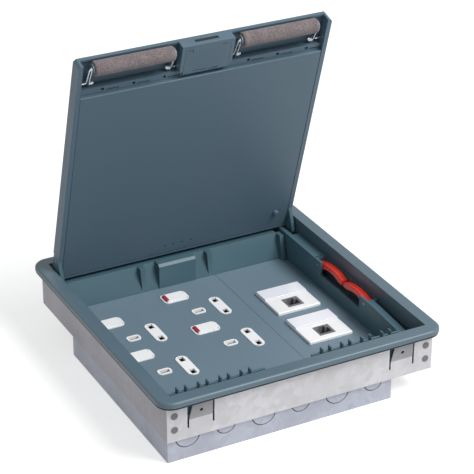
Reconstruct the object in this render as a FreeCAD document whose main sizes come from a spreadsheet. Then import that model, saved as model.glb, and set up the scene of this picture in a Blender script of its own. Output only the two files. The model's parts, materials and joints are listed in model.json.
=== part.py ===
import FreeCAD
import Part
import math
import os
import re
import Sketcher

# Floor socket box: a shallow two-tier galvanised box with a moulded trim flange and a hinged lid.
# Millimetres.  X runs left to right, Y from the front (latch side) to the back (hinge side) and
# Z up.  The origin is under the middle of the flange, on the plane of the box's base.  Pieces
# carried by the lid are modelled shut about the hinge axis and then swung up by lid_opening.

DIMENSIONS = {
    # trim flange
    "flange_width": 275.0,
    "flange_depth": 281.0,
    "flange_thickness": 5.0,
    "rail_width": 12.8,
    "corner_radius": 14.0,
    "edge_round": 2.6,
    "skirt_height": 13.0,
    # galvanised box
    "box_height": 64.0,
    "box_inset": 7.8,
    "gauge": 1.2,
    "step_height": 21.3,
    "side_shelf": 39.4,
    "back_shelf": 66.4,
    "seat_groove": 1.0,
    "groove_fit": 0.2,
    "knockout_pitch": 36.2,
    "return_width": 14.0,
    "base_hole_radius": 2.6,
    "base_hole_span_x": 170.0,
    "base_hole_span_y": 145.0,
    # accessory plates
    "plate_thickness": 1.5,
    "plate_joint": 173.2,
    "plate_front": 36.5,
    "wall_room": 37.8,
    "wall_crest": 29.0,
    "side_room": 25.0,
    # sockets, measured from the flange's left edge and from the plates' back edge
    "earth_x": 53.5,
    "earth_room": 72.3,
    "socket_pitch": 64.1,
    "twin_shift_x": 74.4,
    "twin_shift_y": 16.65,
    "pin_spacing": 22.23,
    "switch_shift_x": -8.6,
    "switch_shift_y": 33.4,
    "boss_proud": 0.6,
    # data modules, measured from the divider and from the plates' back edge
    "module_side_room": 38.6,
    "module_back_room": 75.9,
    "module_pitch": 58.2,
    "module_size": 45.0,
    # inner mouldings
    "ledge_drop": 13.0,
    "comb_drop": 14.0,
    "fin_height": 7.5,
    "fin_gap": 8.2,
    "fin_pair_pitch": 20.35,
    "lever_length": 43.0,
    "lever_width": 7.0,
    # lid, with its gaps to the rails when it is shut
    "lid_opening": 73.2,
    "lid_gap_side": 1.9,
    "lid_gap_back": 3.3,
    "lid_gap_front": 1.2,
    "lid_sink": 0.4,
    "lid_thickness": 12.3,
    "lid_back": 5.0,
    "lid_top": 5.4,
    "latch_band": 34.9,
    "pin_radius": 2.0,
    "pin_clearance": 0.06,
    # cable outlets
    "roll_radius": 5.2,
    "roll_setback": 6.6,
    "roll_depth": 7.1,
    "bail_setback": 24.4,
    "bail_depth": 5.4,
    "wire_radius": 1.0,
}

doc = FreeCAD.newDocument("FloorSocketBox")
sheet = doc.addObject("Spreadsheet::Sheet", "Dims")
for row, (name, value) in enumerate(DIMENSIONS.items(), start=1):
    sheet.set(f"A{row}", name)
    sheet.set(f"B{row}", str(value))
    sheet.setAlias(f"B{row}", name)
doc.recompute()

PIECES = {}


def size(name):
    """Return one driving dimension as it stands in the sheet."""
    return float(sheet.get(name))


def formula(text):
    """Return an expression in which every driving dimension is read from the sheet."""
    return re.sub(r"[a-z_]{4,}", lambda found: "Dims." + found.group(0)
                  if found.group(0) in DIMENSIONS else found.group(0), str(text))


# Places that are measured from the flange's outer corner or from the hinge.

def across(distance):
    """Return X for a distance from the flange's left edge."""
    return f"({distance}) - flange_width / 2"


def along(distance):
    """Return Y for a distance from the flange's front edge."""
    return f"({distance}) - flange_depth / 2"


def reach(distance):
    """Return the lid's own Y for a distance from its hinge edge towards the latch."""
    return f"lid_back - ({distance})"


def depth(distance):
    """Return the lid's own Z for a distance below its top face."""
    return f"lid_top - ({distance})"


BOX_X = "(flange_width / 2 - box_inset)"
BOX_Y = "(flange_depth / 2 - box_inset)"
RAIL_X = "(flange_width / 2 - rail_width)"
RAIL_Y = "(flange_depth / 2 - rail_width)"
INNER_X = f"({BOX_X} - gauge)"
INNER_Y = f"({BOX_Y} - gauge)"
LOWER_LEFT = f"(-{BOX_X} + gauge)"
LOWER_FRONT = f"(-{BOX_Y} + 2 * gauge)"
LOWER_RIGHT = f"({BOX_X} - side_shelf)"
LOWER_BACK = f"({BOX_Y} - back_shelf)"
FLOOR_TOP = "(step_height + gauge)"
PLATE_TOP = "(step_height + gauge + plate_thickness)"
UNDER_FLANGE = "(box_height - flange_thickness)"
WALL_TOP = f"({UNDER_FLANGE} + seat_groove)"
LEDGE = "(box_height - ledge_drop)"
COMB = "(box_height - comb_drop)"
PLATE_BACK = "(flange_depth - wall_room)"
DIVIDER = "(flange_width - side_room)"
EARTH_Y = f"({PLATE_BACK} - earth_room)"
MODULE_X = f"({DIVIDER} - module_side_room)"
MODULE_Y = f"({PLATE_BACK} - module_back_room)"
LID_WIDTH = "(flange_width - 2 * rail_width - 2 * lid_gap_side)"
LID_LENGTH = "(flange_depth - 2 * rail_width - lid_gap_back - lid_gap_front)"
PIVOT_Y = f"({RAIL_Y} - lid_gap_back - lid_back)"
PIVOT_Z = "(box_height - lid_sink - lid_top)"
PANEL_LENGTH = f"({LID_LENGTH} - latch_band)"
STRIP_START = f"({PANEL_LENGTH} + 6.4)"
POCKET_INNER = "(25.5)"
POCKET_OUTER = f"({LID_WIDTH} / 2 - 4.3)"
BAIL_REACH = f"({LID_LENGTH} - bail_setback)"
ROLL_REACH = f"({LID_LENGTH} - roll_setback)"


# Outlines for sketches.  Each is a function that draws into a sketch and ties itself to the sheet.

def tie(sketch, kind, geometry, point, text):
    """Hold one point of a sketch at a formula's distance from the sketch's origin."""
    index = sketch.addConstraint(Sketcher.Constraint(kind, -1, 1, geometry, point, 1.0))
    sketch.setExpression(f"Constraints[{index}]", formula(text))


def polygon(*corners):
    """Return an outline with straight sides through the given corners."""
    def draw(sketch):
        first = sketch.GeometryCount
        count = len(corners)
        turn = 2 * math.pi / count
        ring = [FreeCAD.Vector(math.cos(turn * i), math.sin(turn * i), 0) for i in range(count)]
        sketch.addGeometry([Part.LineSegment(ring[i], ring[(i + 1) % count]) for i in range(count)], False)
        for i in range(count):
            sketch.addConstraint(Sketcher.Constraint("Coincident", first + i, 2, first + (i + 1) % count, 1))
        for i, (x_text, y_text) in enumerate(corners):
            tie(sketch, "DistanceX", first + i, 1, x_text)
            tie(sketch, "DistanceY", first + i, 1, y_text)
    return draw


def rectangle(left, right, low, high):
    """Return a rectangular outline between two X and two Y formulas."""
    return polygon((left, low), (right, low), (right, high), (left, high))


def block(centre_x, centre_y, width, height):
    """Return a rectangular outline about a centre."""
    return rectangle(f"{centre_x} - ({width}) / 2", f"{centre_x} + ({width}) / 2",
                     f"{centre_y} - ({height}) / 2", f"{centre_y} + ({height}) / 2")


def circle(centre_x, centre_y, radius):
    """Return a round outline."""
    def draw(sketch):
        index = sketch.addGeometry(Part.Circle(FreeCAD.Vector(0, 0, 0), FreeCAD.Vector(0, 0, 1), 1.0), False)
        tie(sketch, "DistanceX", index, 3, centre_x)
        tie(sketch, "DistanceY", index, 3, centre_y)
        radius_index = sketch.addConstraint(Sketcher.Constraint("Radius", index, 1.0))
        sketch.setExpression(f"Constraints[{radius_index}]", formula(radius))
    return draw


class Piece:
    """A PartDesign body built from sketches on its own origin planes."""

    # For each plane: does a pad have to be reversed to grow along the positive axis?
    PLANES = {"XY": False, "XZ": True, "YZ": False}

    def __init__(self, name, many=False, on_lid=False):
        """Start a body.

        Args:
            name: the node's name.
            many: True if the node is a group of separate solids.
            on_lid: True if the piece is modelled about the hinge axis and swung up with the lid.
        """
        self.body = doc.addObject("PartDesign::Body", name)
        self.body.Label = name
        self.body.AllowCompound = many
        self.steps = []
        PIECES[name] = self.body
        if on_lid:
            swing_with_lid(self.body)

    def sketch(self, plane, start, outlines):
        """Add a sketch on an origin plane, lifted to start along that plane's axis."""
        sketch = self.body.newObject("Sketcher::SketchObject", f"{self.body.Name}_sketch")
        support = [f for f in self.body.Origin.OriginFeatures if f.Role == f"{plane}_Plane"][0]
        sketch.AttachmentSupport = [(support, "")]
        sketch.MapMode = "FlatFace"
        sign = "-1 * " if self.PLANES[plane] else ""
        sketch.setExpression("AttachmentOffset.Base.z", formula(f"{sign}({start})"))
        for outline in outlines:
            outline(sketch)
        return sketch

    def extrude(self, kind, plane, start, length, outlines, backwards):
        """Add a pad or a pocket that runs from start along the plane's positive axis."""
        feature = self.body.newObject(f"PartDesign::{kind}", f"{self.body.Name}_{kind.lower()}")
        feature.Profile = self.sketch(plane, start, outlines)
        feature.setExpression("Length", formula(length))
        feature.Reversed = backwards
        self.body.Tip = feature
        self.steps.append(feature)
        return feature

    def pad(self, plane, start, length, *outlines):
        """Add material from start over length."""
        return self.extrude("Pad", plane, start, length, outlines, self.PLANES[plane])

    def pocket(self, plane, start, length, *outlines):
        """Remove material from start over length."""
        return self.extrude("Pocket", plane, start, length, outlines, not self.PLANES[plane])

    def extent(self):
        """Return the bounding box of the body as it stands, in its own frame."""
        doc.recompute()
        return self.body.Tip.Shape.BoundBox

    def dress(self, kind, amount, chosen):
        """Fillet or chamfer the edges that chosen(edge) picks."""
        doc.recompute()
        base = self.body.Tip
        edges = [f"Edge{i}" for i, edge in enumerate(base.Shape.Edges, start=1) if chosen(edge)]
        feature = self.body.newObject(f"PartDesign::{kind}", f"{self.body.Name}_{kind.lower()}")
        feature.Base = (base, edges)
        feature.setExpression("Radius" if kind == "Fillet" else "Size", formula(amount))
        self.body.Tip = feature
        self.steps.append(feature)
        return feature

    def repeat(self, feature, plane_axis, span, count):
        """Repeat one feature along an origin axis: span is the distance from first to last."""
        pattern = self.body.newObject("PartDesign::LinearPattern", f"{self.body.Name}_pattern")
        axis = [f for f in self.body.Origin.OriginFeatures if f.Role == plane_axis][0]
        pattern.Originals = [feature]
        pattern.Direction = (axis, [""])
        pattern.setExpression("Length", formula(span))
        pattern.Occurrences = count
        self.body.Tip = pattern
        self.steps.append(pattern)
        return pattern


def swing_with_lid(item):
    """Place an object that was modelled shut about the hinge axis at the lid's standing angle."""
    item.Placement = FreeCAD.Placement(FreeCAD.Vector(0, 0, 0), FreeCAD.Rotation(FreeCAD.Vector(1, 0, 0), -30))
    item.setExpression("Placement.Base.y", formula(PIVOT_Y))
    item.setExpression("Placement.Base.z", formula(PIVOT_Z))
    item.setExpression("Placement.Rotation.Angle", formula("-lid_opening"))


def upright(edge):
    """Tell whether an edge is a straight one along Z."""
    return edge.Curve.TypeId == "Part::GeomLine" and abs(edge.tangentAt(edge.FirstParameter).z) > 0.999


def level_at(height):
    """Return a test for edges that lie wholly at one height."""
    def test(edge):
        box = edge.BoundBox
        return abs(box.ZMin - height) < 0.01 and abs(box.ZMax - height) < 0.01
    return test


def cylinder(name, axis, centre, radius, length):
    """Add a Part cylinder along X, Y or Z, starting at centre, every size from the sheet."""
    item = doc.addObject("Part::Cylinder", name)
    turns = {"X": (FreeCAD.Vector(0, 1, 0), 90), "Y": (FreeCAD.Vector(1, 0, 0), -90), "Z": (FreeCAD.Vector(0, 0, 1), 0)}
    item.Placement = FreeCAD.Placement(FreeCAD.Vector(0, 0, 0), FreeCAD.Rotation(*turns[axis]))
    for letter, text in zip("xyz", centre):
        item.setExpression(f"Placement.Base.{letter}", formula(text))
    item.setExpression("Radius", formula(radius))
    item.setExpression("Height", formula(length))
    return item


def ball(name, centre, radius):
    """Add a Part sphere."""
    item = doc.addObject("Part::Sphere", name)
    for letter, text in zip("xyz", centre):
        item.setExpression(f"Placement.Base.{letter}", formula(text))
    item.setExpression("Radius", formula(radius))
    return item


def fuse(name, parts, on_lid=False):
    """Join Part objects into one node."""
    item = doc.addObject("Part::MultiFuse", name)
    item.Label = name
    item.Shapes = parts
    if on_lid:
        swing_with_lid(item)
    PIECES[name] = item
    return item


def cut(name, base, tool, on_lid=False):
    """Cut one Part object from another to make a node."""
    item = doc.addObject("Part::Cut", name)
    item.Label = name
    item.Base = base
    item.Tool = tool
    if on_lid:
        swing_with_lid(item)
    PIECES[name] = item
    return item


# ---------------------------------------------------------------------------------------------
# Trim flange
# ---------------------------------------------------------------------------------------------

def trim_frame():
    """Flat flange with rounded corners, a skirt that drops into the box, hinge bores and a strike slot."""
    piece = Piece("trim_frame")
    half_x = size("flange_width") / 2
    half_y = size("flange_depth") / 2
    piece.pad("XY", UNDER_FLANGE, "flange_thickness",
              rectangle("-flange_width / 2", "flange_width / 2", "-flange_depth / 2", "flange_depth / 2"))
    piece.dress("Fillet", "corner_radius", upright)
    top = level_at(size("box_height"))
    piece.dress("Fillet", "edge_round", lambda edge: top(edge) and (
        edge.BoundBox.XLength > half_x or edge.BoundBox.YLength > half_y or edge.Curve.TypeId == "Part::GeomCircle"))
    piece.pad("XY", f"{UNDER_FLANGE} - skirt_height", "skirt_height + 1",
              rectangle(f"-{INNER_X} + 0.1", f"{INNER_X} - 0.1", f"-{INNER_Y} + gauge + 0.1", f"{INNER_Y} - gauge - 0.1"))
    piece.pocket("XY", f"{UNDER_FLANGE} - skirt_height - 1", "skirt_height + flange_thickness + 2",
                 rectangle(f"-{RAIL_X}", RAIL_X, f"-{RAIL_Y}", RAIL_Y))
    # groove in the flange's underside that takes the tops of the box's walls
    outer_x = f"({BOX_X} + groove_fit)"
    outer_y = f"({BOX_Y} + groove_fit)"
    piece.pocket("XY", f"{UNDER_FLANGE} - 1", "1 + seat_groove", rectangle(f"-{outer_x}", outer_x, f"-{outer_y}", outer_y),
                 rectangle(f"-{INNER_X} + 0.1", f"{INNER_X} - 0.1", f"-{INNER_Y} + gauge + 0.1", f"{INNER_Y} - gauge - 0.1"))
    piece.pocket("YZ", f"-{INNER_X}", f"2 * {INNER_X}", circle(PIVOT_Y, PIVOT_Z, "pin_radius"))
    # strike slot for the latch bolt in the front skirt
    piece.pocket("XZ", f"-{INNER_Y}", "6", rectangle("-12", "12", f"{PIVOT_Z} - 3.1", f"{UNDER_FLANGE} + 0.4"))
    return piece


# ---------------------------------------------------------------------------------------------
# Galvanised box
# ---------------------------------------------------------------------------------------------

def upper_box():
    """Upper tier: side walls, floor ledge round the lower tier, and folded returns for the end plates."""
    piece = Piece("upper_box")
    height = f"{WALL_TOP} - step_height"
    piece.pad("XY", "step_height", height, rectangle(f"-{BOX_X}", BOX_X, f"-{INNER_Y}", INNER_Y))
    piece.pocket("XY", FLOOR_TOP, height, rectangle(f"-{INNER_X}", INNER_X, f"-{INNER_Y} + gauge", f"{INNER_Y} - gauge"))
    # the wide middles of the two folded ends are cut away, which leaves a return at each side
    for low in (f"-{INNER_Y} - 1", f"{INNER_Y} - gauge"):
        piece.pocket("XY", FLOOR_TOP, height, rectangle(
            f"-{INNER_X} + return_width", f"{INNER_X} - return_width", low, f"{low} + gauge + 1"))
    # opening over the lower tier
    piece.pocket("XY", "step_height - 1", "gauge + 2",
                 rectangle(f"-{INNER_X}", f"{LOWER_RIGHT} - gauge", f"-{INNER_Y} - 1", f"{LOWER_BACK} - gauge"))
    # clearance under the rear rocker of each twin socket
    for twin in range(2):
        middle = across(f"earth_x + switch_shift_x + {twin} * twin_shift_x")
        piece.pocket("XY", "step_height - 1", "gauge + 2", rectangle(
            f"{middle} - 15", f"{middle} + 15", f"{LOWER_BACK} - gauge - 1",
            along(f"{EARTH_Y} + switch_shift_y + {twin} * twin_shift_y + 10.5")))
    for side in (-1, 1):
        for level in ("box_height - 17.7", "box_height - 31.1"):
            piece.pocket("XZ", f"{side} * {INNER_Y} - 3", "6",
                         circle(f"-{INNER_X} + 5.6", level, "1.6"), circle(f"{INNER_X} - 5.6", level, "1.6"))
    return piece


def end_plate(name, side):
    """Front or back plate with two spring tongues that grip the edge of the floor cut-out.

    Args:
        name: the node's name.
        side: -1 for the front of the box, +1 for the back.
    """
    piece = Piece(name)
    outer = f"{side} * {BOX_Y}"
    start = outer if side < 0 else f"{outer} - gauge"
    piece.pad("XZ", start, "gauge", rectangle(f"-{BOX_X}", BOX_X, "step_height", WALL_TOP))
    foot = "box_height - 33"
    bend = "box_height - 25"
    tip = f"{UNDER_FLANGE} - 3"
    for middle in (across("39.2"), f"-({across('39.2')})"):
        piece.pocket("XZ", f"{start} - 1", "gauge + 2", rectangle(f"{middle} - 12.6", f"{middle} + 12.6", foot, f"{tip} + 1.5"))
        inner = f"{outer} - {side} * gauge"
        piece.pad("YZ", f"{middle} - 11", "22", polygon(
            (outer, f"{foot} - 0.5"), (inner, f"{foot} - 0.5"), (inner, bend), (f"{inner} + {side} * 2.4", tip),
            (f"{outer} + {side} * 2.4", tip), (outer, bend)))
        piece.pocket("XZ", f"{outer} - 5", "10", circle(middle, "box_height - 17.4", "1.6"))
    for level in ("box_height - 17.7", "box_height - 31.1"):
        piece.pocket("XZ", f"{start} - 1", "gauge + 2",
                     circle(f"-{INNER_X} + 5.6", level, "1.6"), circle(f"{INNER_X} - 5.6", level, "1.6"))
    return piece


def plate_rivets():
    """Flat rivets that join each end plate to the returns of the upper tier."""
    piece = Piece("plate_rivets", many=True)
    for side in (-1, 1):
        for level in ("box_height - 17.7", "box_height - 31.1"):
            for x in (f"-{INNER_X} + 5.6", f"{INNER_X} - 5.6"):
                shank = f"{side} * ({BOX_Y} - gauge) - gauge"
                piece.pad("XZ", shank, "2 * gauge", circle(x, level, "1.6"))
                head = f"{side} * {BOX_Y}" + (" - 0.4" if side < 0 else "")
                piece.pad("XZ", head, "0.4", circle(x, level, "3.2"))
    return piece


def lower_box():
    """Lower tier: a tray with knockouts under the step, fixing holes and support flanges for the plates."""
    piece = Piece("lower_box")
    piece.pad("XY", "0", "step_height", rectangle(LOWER_LEFT, LOWER_RIGHT, LOWER_FRONT, LOWER_BACK))
    piece.pocket("XY", "gauge", "step_height", rectangle(
        f"{LOWER_LEFT} + gauge", f"{LOWER_RIGHT} - gauge", f"{LOWER_FRONT} + gauge", f"{LOWER_BACK} - gauge"))
    flange = "step_height"
    flange_right = f"({LOWER_RIGHT} - 2 * gauge)"
    flange_back = f"({LOWER_BACK} - 2 * gauge)"
    piece.pad("XY", flange, "gauge", polygon(
        (LOWER_LEFT, LOWER_FRONT), (flange_right, LOWER_FRONT), (flange_right, f"{LOWER_FRONT} + 10"),
        (f"{LOWER_LEFT} + 10", f"{LOWER_FRONT} + 10"), (f"{LOWER_LEFT} + 10", flange_back), (LOWER_LEFT, flange_back)))
    centre_x = f"({LOWER_LEFT} + {LOWER_RIGHT}) / 2"
    centre_y = f"({LOWER_FRONT} + {LOWER_BACK}) / 2"
    piece.pocket("XY", "-1", "gauge + 2", *[
        circle(f"{centre_x} + {i} * base_hole_span_x / 2", f"{centre_y} + {j} * base_hole_span_y / 2", "base_hole_radius")
        for i in (-1, 1) for j in (-1, 1)])
    # knockouts: scored half rings under the step, large and small in turn
    width = size("flange_width") - 2 * size("box_inset") - size("gauge") - size("side_shelf")
    count = 1 + int((width - 32) / size("knockout_pitch"))
    for start in (LOWER_FRONT, f"{LOWER_BACK} - 0.5"):
        for number in range(count):
            radius = 11.8 if number % 2 == 0 else 9.4
            x = f"{LOWER_LEFT} + 18.8 + {number} * knockout_pitch"
            piece.pocket("XZ", start, "0.5", circle(x, "step_height + 1.3", radius), circle(x, "step_height + 1.3", radius - 0.9))
    return piece


def compartment_divider():
    """Steel wall that keeps the power wiring from the data wiring."""
    piece = Piece("compartment_divider")
    piece.pad("YZ", f"{across('plate_joint')} - gauge / 2", "gauge", rectangle(
        f"{LOWER_FRONT} + gauge", f"{LOWER_BACK} - gauge", "gauge", FLOOR_TOP))
    # mouse hole for the earth lead
    piece.pocket("YZ", f"{across('plate_joint')} - gauge", "2 * gauge", rectangle(
        f"{LOWER_FRONT} + gauge", f"{LOWER_FRONT} + gauge + 10", FLOOR_TOP + " - gauge", FLOOR_TOP + " + 1"))
    return piece


def earth_stud():
    """Earth stud that stands on the base in the data compartment."""
    piece = Piece("earth_stud")
    x = across("200")
    y = along("30")
    piece.pad("XY", "gauge", "1.2", circle(x, y, "6"))
    piece.pad("XY", "gauge", "13", circle(x, y, "2.4"))
    return piece


def earth_nut():
    """Hexagon nut on the earth stud."""
    piece = Piece("earth_nut")
    x = across("200")
    y = along("30")
    corners = [(f"{x} + {4.6 * math.cos(math.radians(60 * i)):.3f}", f"{y} + {4.6 * math.sin(math.radians(60 * i)):.3f}")
               for i in range(6)]
    piece.pad("XY", "gauge + 1.2", "3.6", polygon(*corners))
    piece.pocket("XY", "gauge", "6", circle(x, y, "2.4"))
    return piece


# ---------------------------------------------------------------------------------------------
# Inner mouldings
# ---------------------------------------------------------------------------------------------

def rear_moulding():
    """Back wall that leans away from the plates, with two gussets, a centre block and a corner post."""
    piece = Piece("rear_moulding")
    left = across("20")
    right = across(f"{DIVIDER} + 0.6")
    foot = along(f"{PLATE_BACK} + 0.1")
    crest = along("flange_depth - wall_crest")
    shelf_end = f"{RAIL_Y} - 0.2"
    top = "box_height - 16"
    piece.pad("YZ", left, f"{right} - ({left}) - 6", polygon(
        (foot, FLOOR_TOP), (foot, f"{PLATE_TOP} + 1"), (crest, top), (shelf_end, top), (shelf_end, f"{top} - 2"),
        (f"{crest} + 1.4", f"{top} - 2"), (f"{foot} + 2.2", PLATE_TOP), (f"{foot} + 2.2", FLOOR_TOP)))
    for middle in (across("98.4"), across("168.6")):
        piece.pad("YZ", f"{middle} - 1.2", "2.4", polygon(
            (f"{foot} + 0.2", f"{PLATE_TOP} + 1.5"), (f"{foot} + 1.6", top), (f"{crest} + 1", top)))
    block_left = across("114")
    piece.pad("XY", PLATE_TOP, f"{top} - {PLATE_TOP} + 1.2", rectangle(
        block_left, f"{block_left} + 34", f"{foot} - 1", f"{crest} + 1"))
    extent = piece.extent()
    piece.dress("Chamfer", "2.4", lambda edge: edge.BoundBox.YMax < extent.YMin + 0.01
                and edge.BoundBox.ZMin > extent.ZMax - 0.01)
    post = across(f"{DIVIDER} - 5.4")
    piece.pad("YZ", f"{post}", "4.4", polygon(
        (f"{foot} - 5", PLATE_TOP), (f"{crest} - 8", top), (f"{crest} + 1", top), (f"{foot} + 2.2", PLATE_TOP)))
    piece.pad("XY", PLATE_TOP, "2.2", circle(f"{post} + 2.2", f"{foot} - 3.4", "3.1"))
    return piece


def side_channel():
    """Right-hand moulding: divider wall, ledge, the well under the red levers and a cable channel."""
    piece = Piece("side_channel")
    left = across(DIVIDER)
    right = f"{RAIL_X} - 0.1"
    front = along("49")
    back = along("flange_depth - 25")
    base = "step_height + gauge"
    piece.pad("XY", base, f"{LEDGE} - ({base})", rectangle(left, right, front, back))
    well_front = along("92")
    well_back = along("184")
    # well for the levers, with its window through the divider
    piece.pocket("XY", "box_height - 30", "40", rectangle(f"{left} + 2.2", f"{right} - 1.8", well_front, well_back))
    piece.pocket("XY", "box_height - 26", "40", rectangle(f"{left} - 1", f"{left} + 3", along("104"), along("174")))
    # hollow underside
    piece.pocket("XY", f"{base} - 1", "box_height - 32.5 - step_height", rectangle(
        f"{left} + 2.2", f"{right} - 2.2", f"{front} + 2.2", f"{back} - 16"))
    # cable channel beside the ledge at the front
    piece.pocket("XY", "box_height - 24", "40", rectangle(f"{right} - 5.1", f"{right} + 1", f"{front} - 1", f"{well_front} - 2"))
    # ramp down to the front of the ledge
    piece.pocket("YZ", f"{left} - 1", f"{right} - ({left}) + 2", polygon(
        (f"{front} - 1", f"{LEDGE} + 1"), (f"{front} - 1", f"{LEDGE} - 7"), (f"{front}", f"{LEDGE} - 7"),
        (f"{well_front} - 12", LEDGE), (f"{well_front} - 12", f"{LEDGE} + 1")))
    # room for the swinging hinge arm
    piece.pocket("XY", "box_height - 29.5", "60", rectangle(f"{left} + 4.6", f"{right} + 1", f"{back} - 20", f"{back} + 1"))
    # finger groove behind the rear lever
    piece.pocket("XY", f"{LEDGE} - 3", "4", rectangle(f"{left} + 1", f"{left} + 8", f"{well_back} + 1.2", f"{well_back} + 3.4"))
    # bores for the two lever pins
    for middle in (f"{well_back} - 4", f"{well_front} + 4"):
        piece.pocket("YZ", f"{left} - 1", f"{right} - ({left}) + 2", circle(middle, f"{LEDGE} - 5", "1.2"))
    return piece


def lever_pins():
    """Steel pins of the two red levers."""
    piece = Piece("lever_pins", many=True)
    for middle in (along("180"), along("96")):
        piece.pad("YZ", across(DIVIDER), f"{RAIL_X} - 0.1 - ({across(DIVIDER)})", circle(middle, f"{LEDGE} - 5", "1.2"))
    return piece


def lever(name, pivot, side):
    """Red arched lever with a pivot eye at its outer end.

    Args:
        name: the node's name.
        pivot: the pivot's distance from the flange's front edge.
        side: -1 if the lever reaches towards the front from its pivot, +1 if towards the back.
    """
    piece = Piece(name)
    x = f"{across(DIVIDER)} + 2.7"
    y = along(pivot)
    height = f"{LEDGE} - 5"
    tip = f"{y} + {side} * (lever_length - 3)"
    heel = f"{y} - {side} * 2.4"
    middle = f"({y} + {side} * (lever_length - 3) / 2)"
    piece.pad("YZ", x, "lever_width", polygon(
        (heel, f"{height} - 2.6"), (heel, f"{height} + 1.6"), (f"{y} + {side} * 10", f"{height} + 4.3"),
        (middle, f"{height} + 4.8"), (f"{tip} - {side} * 10", f"{height} + 4.3"), (tip, f"{height} + 1.6"), (tip, f"{height} - 2.6")))
    piece.pocket("YZ", f"{x} - 1", "lever_width + 2", circle(middle, f"{height} - 34", "34.2"))
    extent = piece.extent()
    piece.dress("Fillet", "1.2", lambda edge: edge.BoundBox.ZMax > extent.ZMax - 1.3 and edge.BoundBox.XLength < 0.01)
    piece.pocket("YZ", f"{x} - 1", "lever_width + 2", circle(y, height, "1.2 + pin_clearance"))
    return piece


def front_comb():
    """Front wall of the compartments with fins that keep the outgoing cables apart."""
    piece = Piece("front_comb")
    left = across("13")
    right = across(f"{DIVIDER} - 0.6")
    back = along("plate_front - 0.1")
    front = f"{LOWER_FRONT} + 0.1"
    piece.pad("YZ", left, f"{right} - ({left})", polygon(
        (front, FLOOR_TOP), (back, FLOOR_TOP), (back, COMB), (f"{back} - 2.2", COMB),
        (f"{back} - 2.2", f"{FLOOR_TOP} + 2"), (front, f"{FLOOR_TOP} + 2")))
    # openings in the foot that let cables up into the outlet
    for start in (across("26"), across("flange_width - 107")):
        piece.pocket("XY", f"{FLOOR_TOP} - 1", "4", rectangle(start, f"{start} + 76", f"{front} + 10.2", f"{back} - 6"))
    for start in (across("29.6"), across("flange_width - 105.4")):
        second = f"{start} + fin_gap"
        pair = piece.pad("XY", f"{COMB} - 4", "fin_height + 4",
                         rectangle(start, f"{start} + 1.6", f"{back} - 3.6", f"{back} + 0.9"),
                         rectangle(second, f"{second} + 1.6", f"{back} - 3.6", f"{back} + 0.9"))
        piece.repeat(pair, "X_Axis", "fin_pair_pitch * 3", 4)
    # notch over the latch
    piece.pocket("XY", f"{COMB} - 2.5", "4", rectangle("-23", "23", f"{back} - 4", f"{back} + 1"))
    return piece


# ---------------------------------------------------------------------------------------------
# Power and data plates
# ---------------------------------------------------------------------------------------------

def sockets():
    """Yield (number, earth X, earth Y) for the four outlets."""
    for twin in range(2):
        for row in range(2):
            yield (2 * twin + row + 1, across(f"earth_x + {twin} * twin_shift_x"),
                   along(f"{EARTH_Y} + {twin} * twin_shift_y - {row} * socket_pitch"))


def window_outlines(x, y, grow):
    """Return the three outlines of one outlet: earth window, pin window and switch frame."""
    return [block(x, y, f"13 + 2 * {grow}", f"9 + 2 * {grow}"),
            block(f"{x} + pin_spacing", y, f"13.6 + 2 * {grow}", f"33.6 + 2 * {grow}"),
            block(f"{x} + switch_shift_x", f"{y} + switch_shift_y", f"25.4 + 2 * {grow}", f"16.4 + 2 * {grow}")]


def power_plate():
    """Painted plate over the power compartment, with windows for four switched outlets."""
    piece = Piece("power_plate")
    piece.pad("XY", FLOOR_TOP, "plate_thickness", rectangle(
        f"-{INNER_X} + 0.3", f"{across('plate_joint')} - 0.1", along("plate_front"), along(PLATE_BACK)))
    outlines = [outline for _, x, y in sockets() for outline in window_outlines(x, y, 0.25)]
    piece.pocket("XY", f"{FLOOR_TOP} - 1", "plate_thickness + 2", *outlines)
    piece.dress("Fillet", "3.4", window_corner(0.25))
    return piece


def window_corner(grow):
    """Return a test for the upright corner edges of the outlet windows."""
    places = []
    plate_back = size("flange_depth") / 2 - size("wall_room")
    for twin in range(2):
        for row in range(2):
            x = size("earth_x") + twin * size("twin_shift_x") - size("flange_width") / 2
            y = plate_back - size("earth_room") + twin * size("twin_shift_y") - row * size("socket_pitch")
            for centre_x, centre_y, width, height in (
                    (x, y, 13, 9), (x + size("pin_spacing"), y, 13.6, 33.6),
                    (x + size("switch_shift_x"), y + size("switch_shift_y"), 25.4, 16.4)):
                places += [(centre_x + i * (width / 2 + grow), centre_y + j * (height / 2 + grow))
                           for i in (-1, 1) for j in (-1, 1)]

    def test(edge):
        centre = edge.BoundBox.Center
        return upright(edge) and any(math.hypot(centre.x - x, centre.y - y) < 0.05 for x, y in places)
    return test


def data_plate():
    """Painted plate over the data compartment, with two square apertures."""
    piece = Piece("data_plate")
    piece.pad("XY", FLOOR_TOP, "plate_thickness", rectangle(
        f"{across('plate_joint')} + 0.1", f"{across(DIVIDER)} - 0.1", along("plate_front"), along(PLATE_BACK)))
    outlines = [block(across(MODULE_X), along(f"{MODULE_Y} - {i} * module_pitch"), "module_size - 4", "module_size - 4")
                for i in range(2)]
    piece.pocket("XY", f"{FLOOR_TOP} - 1", "plate_thickness + 2", *outlines)
    return piece


def plate_screws():
    """Pan-head screws that hold the two plates down, under the front and back of the lid."""
    piece = Piece("plate_screws", many=True)
    y = along("42")
    for x in (across("15"), across("165"), across("181"), across(f"{DIVIDER} - 7")):
        piece.pad("XY", PLATE_TOP, "1.4", circle(x, y, "3"))
        piece.pocket("XY", f"{PLATE_TOP} + 0.7", "2", block(x, y, "5", "0.9"))
    return piece


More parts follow.
